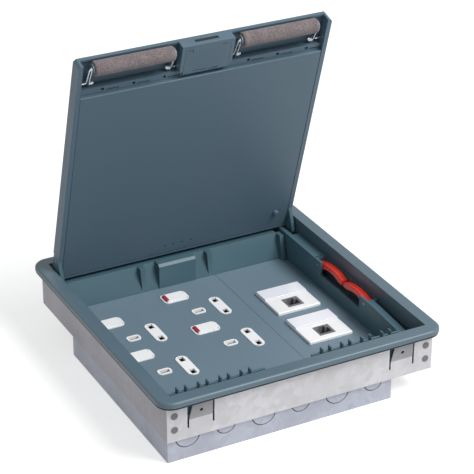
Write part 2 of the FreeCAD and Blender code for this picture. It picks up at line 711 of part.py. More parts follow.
def socket_cover(number, twin):
    """White front moulding of one twin outlet: raised windows, pin holes and rocker frames."""
    piece = Piece(f"socket_cover_{number}")
    x = across(f"earth_x + {twin} * twin_shift_x")
    upper = along(f"{EARTH_Y} + {twin} * twin_shift_y")
    lower = along(f"{EARTH_Y} + {twin} * twin_shift_y - socket_pitch")
    deep_back = f"{LOWER_BACK} - gauge - 0.4"
    piece.pad("XY", f"{FLOOR_TOP} - 3.5", "3.5", rectangle(f"{x} - 23", f"{x} + 35", f"{lower} - 20", deep_back))
    piece.pad("XY", f"{FLOOR_TOP} - gauge", "gauge", rectangle(
        f"{x} + switch_shift_x - 14", f"{x} + switch_shift_x + 14", f"{deep_back} - 2", f"{upper} + switch_shift_y + 9.6"))
    outlines = [outline for y in (upper, lower) for outline in window_outlines(x, y, 0)]
    piece.pad("XY", FLOOR_TOP, "plate_thickness + boss_proud", *outlines)
    piece.dress("Fillet", "3.2", window_corner(0.0))
    for y in (upper, lower):
        piece.pocket("XY", f"{FLOOR_TOP} - 4.5", "12",
                     block(x, y, "9.4", "5"), block(f"{x} + pin_spacing", f"{y} + pin_spacing / 2", "5", "7.6"),
                     block(f"{x} + pin_spacing", f"{y} - pin_spacing / 2", "5", "7.6"))
        switch_x = f"{x} + switch_shift_x"
        switch_y = f"{y} + switch_shift_y"
        piece.pocket("XY", FLOOR_TOP, "12", block(switch_x, switch_y, "22.2", "12.8"))
        piece.pocket("XZ", f"{switch_y} - 7.6", "15.2", circle(switch_x, f"{FLOOR_TOP} + 1.1", "0.66"))
    return piece


def socket_base(number, twin):
    """Rear moulding of one twin outlet: wells for the contacts and guides for the shutters."""
    piece = Piece(f"socket_base_{number}")
    x = across(f"earth_x + {twin} * twin_shift_x")
    upper = along(f"{EARTH_Y} + {twin} * twin_shift_y")
    lower = along(f"{EARTH_Y} + {twin} * twin_shift_y - socket_pitch")
    top = f"({FLOOR_TOP} - 3.5)"
    piece.pad("XY", "gauge", f"{top} - gauge", rectangle(f"{x} - 23", f"{x} + 35", f"{lower} - 20", f"{LOWER_BACK} - gauge - 0.4"))
    for y in (upper, lower):
        # wells for the earth, line and neutral contacts
        piece.pocket("XY", "gauge + 2", "30", block(x, y, "10.4", "8"),
                     block(f"{x} + pin_spacing", f"{y} + pin_spacing / 2", "8", "8.4"),
                     block(f"{x} + pin_spacing", f"{y} - pin_spacing / 2", "8", "8.4"))
        # shutter guide
        piece.pocket("XY", f"{top} - 2.2", "30", rectangle(f"{x} + 17.8", f"{x} + 34", f"{y} - 15.3", f"{y} + 15.3"),)
        piece.pocket("XY", f"{top} - 2.2", "30", rectangle(f"{x}", f"{x} + 18", f"{y} - 2.4", f"{y} + 2.4"))
    return piece


def shutter(number, x, y):
    """Shutter that covers the line and neutral holes until the earth pin pushes it aside."""
    piece = Piece(f"shutter_{number}")
    floor = f"{FLOOR_TOP} - 3.5 - 2.1"
    piece.pad("XY", floor, "1.9", rectangle(f"{x} + 18.6", f"{x} + 26", f"{y} - 14.9", f"{y} + 14.9"))
    piece.pad("XY", floor, "1.9", rectangle(f"{x} + 0.8", f"{x} + 19", f"{y} - 2", f"{y} + 2"))
    return piece


def rocker(number, x, y):
    """White rocker of one outlet, with a trunnion at each side."""
    piece = Piece(f"rocker_{number}")
    middle_x = f"{x} + switch_shift_x"
    middle_y = f"{y} + switch_shift_y"
    # it stands tipped, with the end that carries the mark up
    piece.pad("XZ", f"{middle_y} - 6.1", "12.2", polygon(
        (f"{middle_x} - 10.7", f"{FLOOR_TOP} + 1.65"), (f"{middle_x} + 10.7", f"{FLOOR_TOP} + 0.35"),
        (f"{middle_x} + 10.7", f"{FLOOR_TOP} + 2.45"), (middle_x, f"{FLOOR_TOP} + 2.5"), (f"{middle_x} - 10.7", f"{FLOOR_TOP} + 3.75")))
    piece.dress("Fillet", "2.4", upright)
    piece.pad("XZ", f"{middle_y} - 7.2", "14.4", circle(middle_x, f"{FLOOR_TOP} + 1.1", "0.6"))
    return piece


def contact_group(name, shift_x, shift_y, gap, across_x):
    """Brass spring contacts, one pair of leaves for each outlet.

    Args:
        name: the node's name.
        shift_x: the contact's place from the earth hole.
        shift_y: the same along Y.
        gap: the gap between the leaves.
        across_x: True if the leaves stand either side of the pin along X.
    """
    piece = Piece(name, many=True)
    for _, x, y in sockets():
        middle_x = f"{x} + {shift_x}"
        middle_y = f"{y} + {shift_y}"
        floor = "gauge + 2"
        if across_x:
            piece.pad("XY", floor, "1", block(middle_x, middle_y, gap + 1.6, "6.4"))
            piece.pad("XY", floor, "11", block(f"{middle_x} - {gap / 2 + 0.4}", middle_y, "0.8", "6.4"),
                      block(f"{middle_x} + {gap / 2 + 0.4}", middle_y, "0.8", "6.4"))
        else:
            piece.pad("XY", floor, "1", block(middle_x, middle_y, "8", gap + 1.6))
            piece.pad("XY", floor, "11", block(middle_x, f"{middle_y} - {gap / 2 + 0.4}", "8", "0.8"),
                      block(middle_x, f"{middle_y} + {gap / 2 + 0.4}", "8", "0.8"))
    return piece


def data_module(number):
    """White data module frame with a label recess behind the jack opening."""
    piece = Piece(f"data_module_{number}")
    x = across(MODULE_X)
    y = along(f"{MODULE_Y} - {number - 1} * module_pitch")
    piece.pad("XY", PLATE_TOP, "2", block(x, y, "module_size", "module_size"))
    piece.dress("Fillet", "1", upright)
    piece.dress("Chamfer", "0.6", level_at(size("step_height") + size("gauge") + size("plate_thickness") + 2))
    piece.pad("XY", FLOOR_TOP, "plate_thickness + 0.5", block(x, y, "module_size - 4.4", "module_size - 4.4"))
    piece.pocket("XY", f"{FLOOR_TOP} - 1", "8", block(x, f"{y} - 8.4", "16.4", "16.4"))
    piece.pocket("XY", f"{PLATE_TOP} + 1.2", "2", block(x, f"{y} + 12.4", "41", "17"))
    return piece


def label_window(number):
    """Clear label strip in the back part of a data module."""
    piece = Piece(f"label_window_{number}")
    y = along(f"{MODULE_Y} - {number - 1} * module_pitch")
    piece.pad("XY", f"{PLATE_TOP} + 1.2", "1.2", block(across(MODULE_X), f"{y} + 12.4", "40.8", "16.8"))
    return piece


def jack(number):
    """Data jack: a block with a stepped mouth, seated in its module."""
    piece = Piece(f"data_jack_{number}")
    x = across(MODULE_X)
    y = f"{along(f'{MODULE_Y} - {number - 1} * module_pitch')} - 8.4"
    piece.pad("XY", "gauge + 3.5", f"{PLATE_TOP} + 1.6 - gauge - 3.5", block(x, y, "16.2", "16.2"))
    piece.pocket("XY", f"{PLATE_TOP} - 12", "20", block(x, f"{y} - 0.6", "12", "8"))
    piece.pocket("XY", f"{PLATE_TOP} - 12", "20", block(x, f"{y} + 4.6", "6.4", "3.6"))
    return piece


# ---------------------------------------------------------------------------------------------
# Lid
# ---------------------------------------------------------------------------------------------

def hinge_pins():
    """Steel hinge pins pressed into the trim flange's skirt."""
    piece = Piece("hinge_pins", many=True)
    piece.pad("YZ", f"-{INNER_X} + 0.1", "8.8", circle(PIVOT_Y, PIVOT_Z, "pin_radius"))
    piece.pad("YZ", f"{INNER_X} - 8.9", "8.8", circle(PIVOT_Y, PIVOT_Z, "pin_radius"))
    return piece


def hinge_arm(name, side):
    """Triangular hinge cheek that carries the lid on its pin."""
    piece = Piece(name, on_lid=True)
    outer = f"{side} * {LID_WIDTH} / 2"
    start = outer if side < 0 else f"{outer} - 3.4"
    under = depth("lid_thickness")
    piece.pad("YZ", start, "3.4", polygon(
        (reach("0.6"), depth("1")), (reach("26"), depth("1")), (reach("26"), under), (reach("22"), under),
        (reach("5"), f"{under} - 12"), (reach("1"), f"{under} - 12"), (reach("0.6"), under)))
    piece.pocket("YZ", f"{start} - 1", "6", circle("0", "0", "pin_radius + pin_clearance"))
    piece.pocket("YZ", f"{start} - 1", "6", circle(reach("20"), depth("6.2"), "1.5"))
    return piece


def arm_screws():
    """Screws that fix the hinge cheeks to the lid."""
    piece = Piece("arm_screws", many=True, on_lid=True)
    for side in (-1, 1):
        outer = f"{side} * {LID_WIDTH} / 2"
        start = f"{outer} + 0.1" if side < 0 else f"{outer} - 4.4"
        piece.pad("YZ", start, "4.3", circle(reach("20"), depth("6.2"), "1.5"))
    return piece


def lid_tray():
    """Lid moulding: recess for the floor covering on top, cable outlets and latch housing along the front."""
    piece = Piece("lid_tray", on_lid=True)
    under = depth("lid_thickness")
    half = f"{LID_WIDTH} / 2"
    piece.pad("XY", under, "lid_thickness", rectangle(f"-{half}", half, reach(LID_LENGTH), reach("0")))
    extent = piece.extent()
    piece.dress("Chamfer", "4", lambda edge: upright(edge) and edge.BoundBox.YMax < extent.YMin + 1)
    piece.dress("Fillet", "1.2", lambda edge: edge.BoundBox.YMin > extent.YMax - 0.01 and edge.BoundBox.ZLength < 0.01)
    # recess for the floor covering
    piece.pocket("XY", depth("4.4"), "6", rectangle(f"-{half} + 5.8", f"{half} - 5.8", reach(f"{PANEL_LENGTH} + 3"), reach("8")))
    # room for the underside panel
    piece.pocket("XY", f"{under} - 1", "7", rectangle(f"-{half} + 4.4", f"{half} - 4.4", reach(PANEL_LENGTH), reach("3")))
    # sunk bar with square holes and long slits in front of the panel
    piece.pocket("XY", f"{under} - 1", "5", rectangle(
        f"-{half} + 4.3", f"{half} - 4.3", reach(STRIP_START + " + 1"), reach(f"{PANEL_LENGTH} - 1")))
    for side in (-1, 1):
        inner = f"{side} * {POCKET_INNER}"
        outer = f"{side} * {POCKET_OUTER}"
        piece.pocket("XY", f"{under} - 1", f"lid_thickness - 0.5", rectangle(
            inner, outer, reach(f"{LID_LENGTH} + 1"), reach(STRIP_START)))
        # notch through which the cables leave
        piece.pocket("XY", f"{under} - 1", "lid_thickness + 2", rectangle(
            f"{side} * 39.5", f"{side} * 107.5", reach(f"{LID_LENGTH} + 1"), reach(f"{LID_LENGTH} - 6.5")))
        for hole in range(3):
            x = f"{side} * ({POCKET_INNER} + 12 + {hole} * 29.4)"
            piece.pocket("XY", f"{under} + 2", "4.4", block(x, reach(f"{PANEL_LENGTH} + 3"), "3", "3"))
        # bores for the ends of the roll bail
        piece.pocket("YZ", f"{inner} - 3" if side > 0 else f"{outer} - 2.6", f"{LID_WIDTH} / 2 - 4.3 - 25.5 + 5.6", circle(
            reach(BAIL_REACH), depth("bail_depth"), "wire_radius + 0.1"))
    # latch housing: cavity and slot for the bolt
    piece.pocket("XY", f"{under} - 1", "9.4", rectangle("-18", "18", reach(f"{LID_LENGTH} - 4"), reach(STRIP_START + " + 2")))
    piece.pocket("XZ", reach(f"{LID_LENGTH} + 1"), "8", rectangle("-11.4", "11.4", "-2.7", "0.7"))
    # seat of the latch cover
    piece.pocket("XY", f"{under} - 1", "3", rectangle("-22.2", "22.2", reach(f"{LID_LENGTH} - 1.4"), reach(STRIP_START + " - 2")))
    # corner notches for the hinge cheeks
    for side in (-1, 1):
        edge = f"{side} * {half}"
        piece.pocket("XY", f"{under} - 1", "lid_thickness + 2", rectangle(
            f"{edge} - {side} * 3.5", f"{edge} + {side} * 1", reach("26.2"), reach("-1")))
        piece.pocket("YZ", f"{edge} - 4.6" if side > 0 else f"{edge} - 0.1", "4.7", circle(reach("20"), depth("6.2"), "1.5"))
    return piece


def lid_plate():
    """Steel plate that stiffens the floor-covering recess."""
    piece = Piece("lid_plate", on_lid=True)
    half = f"{LID_WIDTH} / 2 - 6"
    piece.pad("XY", depth("4.4"), "1", rectangle(f"-({half})", half, reach(f"{PANEL_LENGTH} + 2.8"), reach("8.2")))
    return piece


def lid_panel():
    """Underside panel of the lid, a shallow pan with pressed dimples and a pull peg seat."""
    piece = Piece("lid_panel", on_lid=True)
    half = f"({LID_WIDTH} / 2 - 4.6)"
    under = depth("lid_thickness")
    piece.pad("XY", under, "6", rectangle(f"-{half}", half, reach(f"{PANEL_LENGTH} - 0.2"), reach("3.2")))
    low = size("lid_top") - size("lid_thickness")
    piece.dress("Fillet", "1", level_at(low))
    piece.pocket("XY", f"{under} + 2", "6", rectangle(
        f"-{half} + 2", f"{half} - 2", reach(f"{PANEL_LENGTH} - 2.2"), reach("5.2")))
    piece.pocket("XY", f"{under} - 1", "1.7", *[circle(f"{i} * 9.2 - 13.8", reach("12.6"), "1.5") for i in range(4)])
    return piece


def lid_peg():
    """Round peg on the underside panel."""
    piece = Piece("lid_peg", on_lid=True)
    x = f"{LID_WIDTH} / 2 - 18.8"
    piece.pad("XY", f"{depth('lid_thickness')} - 3", "3", circle(x, reach("22.5"), "2.6"))
    piece.dress("Fillet", "1", level_at(size("lid_top") - size("lid_thickness") - 3))
    return piece


def latch_cover():
    """Snap-on cover of the latch housing."""
    piece = Piece("latch_cover", on_lid=True)
    under = depth("lid_thickness")
    piece.pad("XY", under, "2", rectangle("-22", "22", reach(f"{LID_LENGTH} - 1.6"), reach(STRIP_START + " - 1.8")))
    piece.pad("XY", under, "4.2", rectangle("-17.8", "-15.8", reach(f"{LID_LENGTH} - 8"), reach(STRIP_START + " + 6")),
              rectangle("15.8", "17.8", reach(f"{LID_LENGTH} - 8"), reach(STRIP_START + " + 6")))
    for x in ("-9", "9"):
        piece.pocket("XY", f"{under} - 1", "1.6", block(x, reach(STRIP_START + " + 0.4"), "6", "1"))
    return piece


def latch_bolt():
    """Sliding bolt that shoots into the strike slot of the trim flange."""
    piece = Piece("latch_bolt", on_lid=True)
    piece.pad("XY", "-2.4", "2.8", rectangle("-11", "11", reach(f"{LID_LENGTH} - 0.6"), reach(f"{LID_LENGTH} - 20")))
    piece.pad("XY", "-4", "1.8", rectangle("-6", "6", reach(f"{LID_LENGTH} - 12"), reach(f"{LID_LENGTH} - 20")))
    return piece


def roll_bail(name, side):
    """Wire bail that carries a foam roll and presses it against the outgoing cables."""
    radius = "wire_radius"
    near_end = f"{side} * 30.4"
    far_end = f"{side} * 115.4"
    pivot = (reach(BAIL_REACH), depth("bail_depth"))
    core = (reach(ROLL_REACH), depth("roll_depth"))
    low_x = near_end if side > 0 else far_end
    parts = [cylinder(f"{name}_core", "X", (low_x, *core), radius, "115.4 - 30.4")]
    run = size("roll_setback") - size("bail_setback")
    rise = size("bail_depth") - size("roll_depth")
    along_arm = FreeCAD.Rotation(FreeCAD.Vector(0, 0, 1), FreeCAD.Vector(0, run, rise))
    arm_length = "sqrt((bail_setback - roll_setback) ^ 2 + (roll_depth - bail_depth) ^ 2)"
    for end, stub in ((near_end, -side * 7.2), (far_end, side * 5.2)):
        arm = cylinder(f"{name}_arm", "Z", (end, *pivot), radius, arm_length)
        arm.Placement = FreeCAD.Placement(arm.Placement.Base, along_arm)
        for letter, text in zip("xyz", (end, *pivot)):
            arm.setExpression(f"Placement.Base.{letter}", formula(text))
        begin = end if stub > 0 else f"{end} + {stub}"
        parts += [arm, cylinder(f"{name}_stub", "X", (begin, *pivot), radius, abs(stub)),
                  ball(f"{name}_elbow", (end, *pivot), radius), ball(f"{name}_elbow", (end, *core), radius)]
    return fuse(name, parts, on_lid=True)


def foam_roll(name, side):
    """Foam roll that closes a cable outlet."""
    low = f"{side} * 36.2" if side > 0 else f"{side} * 112.8"
    core = (reach(ROLL_REACH), depth("roll_depth"))
    body = cylinder(f"{name}_body", "X", (low, *core), "roll_radius", "76.6")
    bore = cylinder(f"{name}_bore", "X", (f"{low} - 1", *core), "wire_radius", "78.6")
    return cut(name, body, bore, on_lid=True)


def build():
    """Make every piece of the assembly."""
    trim_frame()
    upper_box()
    end_plate("front_plate", -1)
    end_plate("back_plate", 1)
    plate_rivets()
    lower_box()
    compartment_divider()
    earth_stud()
    earth_nut()
    rear_moulding()
    side_channel()
    lever_pins()
    lever("rear_lever", "180", -1)
    lever("front_lever", "96", 1)
    front_comb()
    power_plate()
    data_plate()
    plate_screws()
    for twin in range(2):
        socket_cover(twin + 1, twin)
        socket_base(twin + 1, twin)
    for number, x, y in sockets():
        shutter(number, x, y)
        rocker(number, x, y)
    contact_group("earth_contacts", "0", "0", 4.2, False)
    contact_group("line_contacts", "pin_spacing", "-pin_spacing / 2", 4.2, True)
    contact_group("neutral_contacts", "pin_spacing", "pin_spacing / 2", 4.2, True)
    for number in (1, 2):
        data_module(number)
        label_window(number)
        jack(number)
    hinge_pins()
    hinge_arm("hinge_arm_left", -1)
    hinge_arm("hinge_arm_right", 1)
    arm_screws()
    lid_tray()
    lid_plate()
    lid_panel()
    lid_peg()
    latch_cover()
    latch_bolt()
    for name, side in (("left", -1), ("right", 1)):
        roll_bail(f"roll_bail_{name}", side)
        foam_roll(f"foam_roll_{name}", side)


def check():
    """Stop if any object failed or any piece has no valid solid."""
    faults = []
    for item in doc.Objects:
        if any(state in ("Invalid", "Error") for state in item.State):
            faults.append(f"{item.Name}: {item.State}")
    for name, item in PIECES.items():
        if item.Shape.isNull() or not item.Shape.isValid() or not item.Shape.Solids:
            faults.append(f"{name}: no valid solid")
    if faults:
        raise RuntimeError("; ".join(faults))


def write():
    """Write one STEP file for each piece."""
    os.makedirs("parts", exist_ok=True)
    for name, item in PIECES.items():
        item.Shape.exportStep(f"parts/{name}.step")


build()
doc.recompute()
check()
write()
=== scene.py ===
"""Looks of a floor socket box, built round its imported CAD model, in metres."""
import json
import logging
import math
from dataclasses import dataclass, field
from enum import Enum
from typing import Callable, Sequence

import bmesh
import bpy
from mathutils import Matrix, Vector, noise

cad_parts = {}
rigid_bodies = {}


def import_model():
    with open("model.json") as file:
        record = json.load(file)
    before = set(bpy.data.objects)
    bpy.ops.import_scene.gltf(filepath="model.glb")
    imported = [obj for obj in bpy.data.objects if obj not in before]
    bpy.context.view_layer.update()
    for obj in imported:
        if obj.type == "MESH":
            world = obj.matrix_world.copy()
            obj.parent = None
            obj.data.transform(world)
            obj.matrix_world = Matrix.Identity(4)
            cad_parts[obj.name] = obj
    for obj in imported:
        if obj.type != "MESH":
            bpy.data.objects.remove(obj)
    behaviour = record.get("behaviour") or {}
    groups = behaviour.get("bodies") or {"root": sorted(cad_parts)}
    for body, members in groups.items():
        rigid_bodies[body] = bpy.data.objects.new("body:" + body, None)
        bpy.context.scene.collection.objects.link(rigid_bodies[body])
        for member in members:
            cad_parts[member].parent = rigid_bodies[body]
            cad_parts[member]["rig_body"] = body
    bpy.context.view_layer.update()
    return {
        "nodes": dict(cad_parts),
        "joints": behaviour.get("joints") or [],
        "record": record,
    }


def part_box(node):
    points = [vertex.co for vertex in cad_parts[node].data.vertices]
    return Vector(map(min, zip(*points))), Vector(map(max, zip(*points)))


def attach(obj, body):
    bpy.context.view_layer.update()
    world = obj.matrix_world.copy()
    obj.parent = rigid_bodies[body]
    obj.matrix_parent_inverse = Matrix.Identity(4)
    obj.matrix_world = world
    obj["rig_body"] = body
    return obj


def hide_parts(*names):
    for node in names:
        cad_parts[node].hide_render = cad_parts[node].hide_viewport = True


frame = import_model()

log = logging.getLogger("floor_socket_box")

MM = 0.001
Colour = tuple[float, float, float]


def linear(red: int, green: int, blue: int) -> tuple[float, float, float, float]:
    """Return a screen colour of three 0-255 numbers as linear RGBA with alpha 1."""
    channels = [c / 255 / 12.92 if c <= 10 else ((c / 255 + 0.055) / 1.055) ** 2.4 for c in (red, green, blue)]
    return (*channels, 1.0)


# ---------------------------------------------------------------------------------------------
# Shader graph
# ---------------------------------------------------------------------------------------------

class Signal:
    """An output socket that takes part in arithmetic; each operation adds a Math node."""

    def __init__(self, graph: "Nodes", socket: bpy.types.NodeSocket) -> None:
        """Wrap an output socket of a graph."""
        self.graph = graph
        self.socket = socket

    def maths(self, operation: str, *terms: "Signal | float") -> "Signal":
        """Add a Math node and return its result."""
        return self.graph.add("ShaderNodeMath", {"operation": operation}, dict(enumerate(terms)))

    def __add__(self, other: "Signal | float") -> "Signal":
        """Return self + other."""
        return self.maths("ADD", self, other)

    __radd__ = __add__

    def __mul__(self, other: "Signal | float") -> "Signal":
        """Return self * other."""
        return self.maths("MULTIPLY", self, other)

    __rmul__ = __mul__

    def __sub__(self, other: "Signal | float") -> "Signal":
        """Return self - other."""
        return self.maths("SUBTRACT", self, other)

    def __rsub__(self, other: float) -> "Signal":
        """Return other - self."""
        return self.maths("SUBTRACT", other, self)

    def above(self, low: float, high: float) -> "Signal":
        """Return 0 below low, 1 above high and a smooth step between."""
        return self.graph.add("ShaderNodeMapRange", {"interpolation_type": "SMOOTHSTEP"},
                              {"Value": self, "From Min": low, "From Max": high})


class Nodes:
    """A node tree to which nodes are added."""

    def __init__(self, tree: bpy.types.NodeTree) -> None:
        """Start with an empty tree."""
        self.tree = tree
        self.tree.nodes.clear()

    def add(self, kind: str, settings: dict | None = None, sockets: dict | None = None,
            output: int | str = 0) -> Signal:
        """Add any node that has an output.

        Args:
            kind: the node's type.
            settings: its own settings, set first.
            sockets: values or signals of its inputs.
            output: which output is returned.

        Returns:
            The chosen output.
        """
        node = self.tree.nodes.new(kind)
        for key, value in (settings or {}).items():
            setattr(node, key, value)
        self.feed(node, sockets or {})
        return Signal(self, node.outputs[output])

    def feed(self, node: bpy.types.Node, sockets: dict) -> None:
        """Set or link a node's inputs.

        Args:
            node: the node.
            sockets: values or signals by input name or index.
        """
        for key, value in sockets.items():
            if isinstance(value, Signal):
                self.tree.links.new(value.socket, node.inputs[key])
            else:
                node.inputs[key].default_value = value

    def shown_ray(self) -> Signal:
        """Return a signal that is 1 for rays that show the background."""
        camera, glossy, through = (self.add("ShaderNodeLightPath", output=f"Is {kind} Ray")
                                   for kind in ("Camera", "Glossy", "Transmission"))
        return camera.maths("MAXIMUM", camera.maths("MAXIMUM", camera, glossy), through)


class Graph(Nodes):
    """The node tree of one material."""

    def __init__(self, name: str) -> None:
        """Start a material with a Principled shader.

        Args:
            name: the material's name.
        """
        self.material = bpy.data.materials.new(name)
        self.material.use_nodes = True
        super().__init__(self.material.node_tree)
        self.shader = self.tree.nodes.new("ShaderNodeBsdfPrincipled")
        self.output = self.tree.nodes.new("ShaderNodeOutputMaterial")
        self.tree.links.new(self.shader.outputs[0], self.output.inputs["Surface"])

    def place(self, scale: Colour = (1, 1, 1)) -> Signal:
        """Return the surface's own coordinates in metres, stretched by scale."""
        own = self.add("ShaderNodeTexCoord", output="Object")
        return self.add("ShaderNodeMapping", {}, {"Vector": own, "Scale": scale})

    def noise(self, scale: float, detail: float = 2.0, stretch: Colour = (1, 1, 1)) -> Signal:
        """Return fractal noise, 0 to 1, of so many bumps per metre."""
        return self.add("ShaderNodeTexNoise", {},
                        {"Vector": self.place(stretch), "Scale": scale, "Detail": detail})

    def mix(self, factor: Signal | float, first: "Signal | Sequence[float]",
            second: "Signal | Sequence[float]") -> Signal:
        """Return a colour between first, at 0, and second, at 1."""
        return self.add("ShaderNodeMix", {"data_type": "RGBA"}, {0: factor, 6: first, 7: second}, 2)

    def bump(self, height: Signal, distance: float) -> Signal:
        """Return a normal that follows height, with so many metres of height at 1."""
        return self.add("ShaderNodeBump", {}, {"Height": height, "Distance": distance, "Strength": 1.0})


def shade(colour: Sequence[float], factor: float) -> tuple[float, float, float, float]:
    """Return a linear colour made darker or lighter by a factor."""
    return (*[min(1.0, c * factor) for c in colour[:3]], 1.0)


@dataclass(frozen=True)
class Finish:
    """A surface finish of one material slot."""

    name: str
    slot: str
    colour: tuple[int, int, int]
    roughness: float = 0.5

    def build(self) -> bpy.types.Material:
        """Return the finish as a material."""
        graph = Graph(self.name)
        self.dress(graph, linear(*self.colour))
        return graph.material

    def dress(self, graph: Graph, colour: Sequence[float]) -> None:
        """Feed the shader of a graph.

        Args:
            graph: the material's graph.
            colour: the finish's linear colour.
        """
        raise NotImplementedError


@dataclass(frozen=True)
class Moulded(Finish):
    """Moulded plastic with a fine spark-eroded grain, slow mottling and lighter edges."""

    grain: float = 0.00004
    mottle: float = 0.06
    sheen: float = 0.0

    def dress(self, graph: Graph, colour: Sequence[float]) -> None:
        """Feed the shader: see Finish."""
        slow = graph.noise(22, 3)
        fine = graph.noise(1900, 2)
        worn = graph.add("ShaderNodeNewGeometry", output="Pointiness").above(0.52, 0.6)
        base = graph.mix(slow, shade(colour, 1 - self.mottle), shade(colour, 1 + self.mottle))
        base = graph.mix(fine * 0.35, base, shade(colour, 0.82))
        graph.feed(graph.shader, {
            "Base Color": graph.mix(worn * 0.25, base, shade(colour, 1.4)),
            "Roughness": self.roughness + 0.16 * (slow - 0.5) + 0.08 * (fine - 0.5),
            "Coat Weight": self.sheen,
            "Coat Roughness": 0.3,
            "Normal": graph.bump(fine + 0.4 * graph.noise(500, 1), self.grain)})


@dataclass(frozen=True)
class Glossy(Finish):
    """Smooth polished plastic with a trace of moulding flow and dust."""

    translucence: float = 0.0

    def dress(self, graph: Graph, colour: Sequence[float]) -> None:
        """Feed the shader: see Finish."""
        flow = graph.noise(60, 2, (1, 3, 1))
        dust = graph.noise(2600, 2).above(0.62, 0.8)
        base = graph.mix(flow, shade(colour, 0.985), shade(colour, 1.01))
        graph.feed(graph.shader, {
            "Base Color": graph.mix(dust * 0.12, base, shade(colour, 0.9)),
            "Roughness": self.roughness + 0.05 * flow + 0.1 * dust,
            "Coat Weight": 0.25,
            "Coat Roughness": 0.12,
            "Subsurface Weight": self.translucence,
            "Subsurface Radius": (0.002, 0.0016, 0.0014),
            "Normal": graph.bump(flow + 0.2 * graph.noise(900, 1), 0.00002)})


@dataclass(frozen=True)
class Powder(Finish):
    """Powder-coated steel with a fine orange peel."""

    def dress(self, graph: Graph, colour: Sequence[float]) -> None:
        """Feed the shader: see Finish."""
        peel = graph.add("ShaderNodeTexVoronoi", {"feature": "SMOOTH_F1"},
                         {"Vector": graph.place(), "Scale": 900, "Smoothness": 0.7})
        slow = graph.noise(14, 3)
        speck = graph.noise(3000, 1).above(0.6, 0.75)
        base = graph.mix(slow, shade(colour, 0.95), shade(colour, 1.05))
        graph.feed(graph.shader, {
            "Base Color": graph.mix(speck * 0.2, base, shade(colour, 0.85)),
            "Roughness": self.roughness + 0.1 * (slow - 0.5),
            "Normal": graph.bump(peel, 0.00005)})


@dataclass(frozen=True)
class Galvanised(Finish):
    """Hot-dip galvanised sheet: zinc spangle, faint rolling streaks and dull patches."""

    metal: float = 0.55
    spangle: float = 150.0

    def dress(self, graph: Graph, colour: Sequence[float]) -> None:
        """Feed the shader: see Finish."""
        warp = graph.noise(240, 2)
        own = graph.place()
        place = graph.add("ShaderNodeVectorMath", {"operation": "MULTIPLY_ADD"},
                          {0: warp, 1: (0.006, 0.006, 0.006), 2: own})
        cell = graph.add("ShaderNodeTexVoronoi", {}, {"Vector": place, "Scale": self.spangle}, "Color")
        tone = graph.add("ShaderNodeSeparateColor", {}, {"Color": cell}, "Red")
        seam = graph.add("ShaderNodeTexVoronoi", {"feature": "DISTANCE_TO_EDGE"},
                         {"Vector": place, "Scale": self.spangle}).above(0.0, 0.06)
        streak = graph.noise(700, 3, (0.05, 0.05, 1))
        dull = graph.noise(26, 4).above(0.42, 0.66)
        base = graph.mix(tone, shade(colour, 0.9), shade(colour, 1.09))
        base = graph.mix(dull * 0.22, base, shade(colour, 0.88))
        base = graph.mix((1 - seam) * 0.1, base, shade(colour, 0.75))
        graph.feed(graph.shader, {
            "Base Color": graph.mix(streak * 0.12, base, shade(colour, 1.12)),
            "Metallic": self.metal + 0.15 * (tone - 0.5),
            "Roughness": self.roughness + 0.18 * (tone - 0.5) + 0.12 * dull,
            "Normal": graph.bump(0.5 * tone + streak, 0.00002)})


@dataclass(frozen=True)
class Wire(Finish):
    """Drawn or plated metal with fine lines along the draw."""

    lines: float = 1200.0

    def dress(self, graph: Graph, colour: Sequence[float]) -> None:
        """Feed the shader: see Finish."""
        draw = graph.noise(self.lines, 2, (0.08, 1, 1))
        tarnish = graph.noise(90, 3).above(0.45, 0.75)
        graph.feed(graph.shader, {
            "Base Color": graph.mix(tarnish * 0.5, shade(colour, 1.0), shade(colour, 0.72)),
            "Metallic": 1.0,
            "Roughness": self.roughness + 0.15 * draw + 0.15 * tarnish,
            "Normal": graph.bump(draw, 0.00001)})


@dataclass(frozen=True)
class Foam(Finish):
    """Open-cell foam: fine cells whose mouths are painted dark as shade in the pores, and a soft, uneven colour.
    """

    def dress(self, graph: Graph, colour: Sequence[float]) -> None:
        """Feed the shader: see Finish."""
        cell = graph.add("ShaderNodeTexVoronoi", {"feature": "F1"}, {"Vector": graph.place(), "Scale": 850})
        mouth = cell.above(0.2, 0.55)
        slow = graph.noise(120, 3)
        base = graph.mix(slow, shade(colour, 0.72), shade(colour, 1.25))
        graph.feed(graph.shader, {
            # The cell mouths are darkened: painted shade in the pores.
            "Base Color": graph.mix((1 - mouth) * 0.7, base, shade(colour, 0.35)),
            "Roughness": 0.95,
            "Sheen Weight": 0.25,
            "Normal": graph.bump(mouth + 0.5 * graph.noise(2600, 2), 0.00025)})


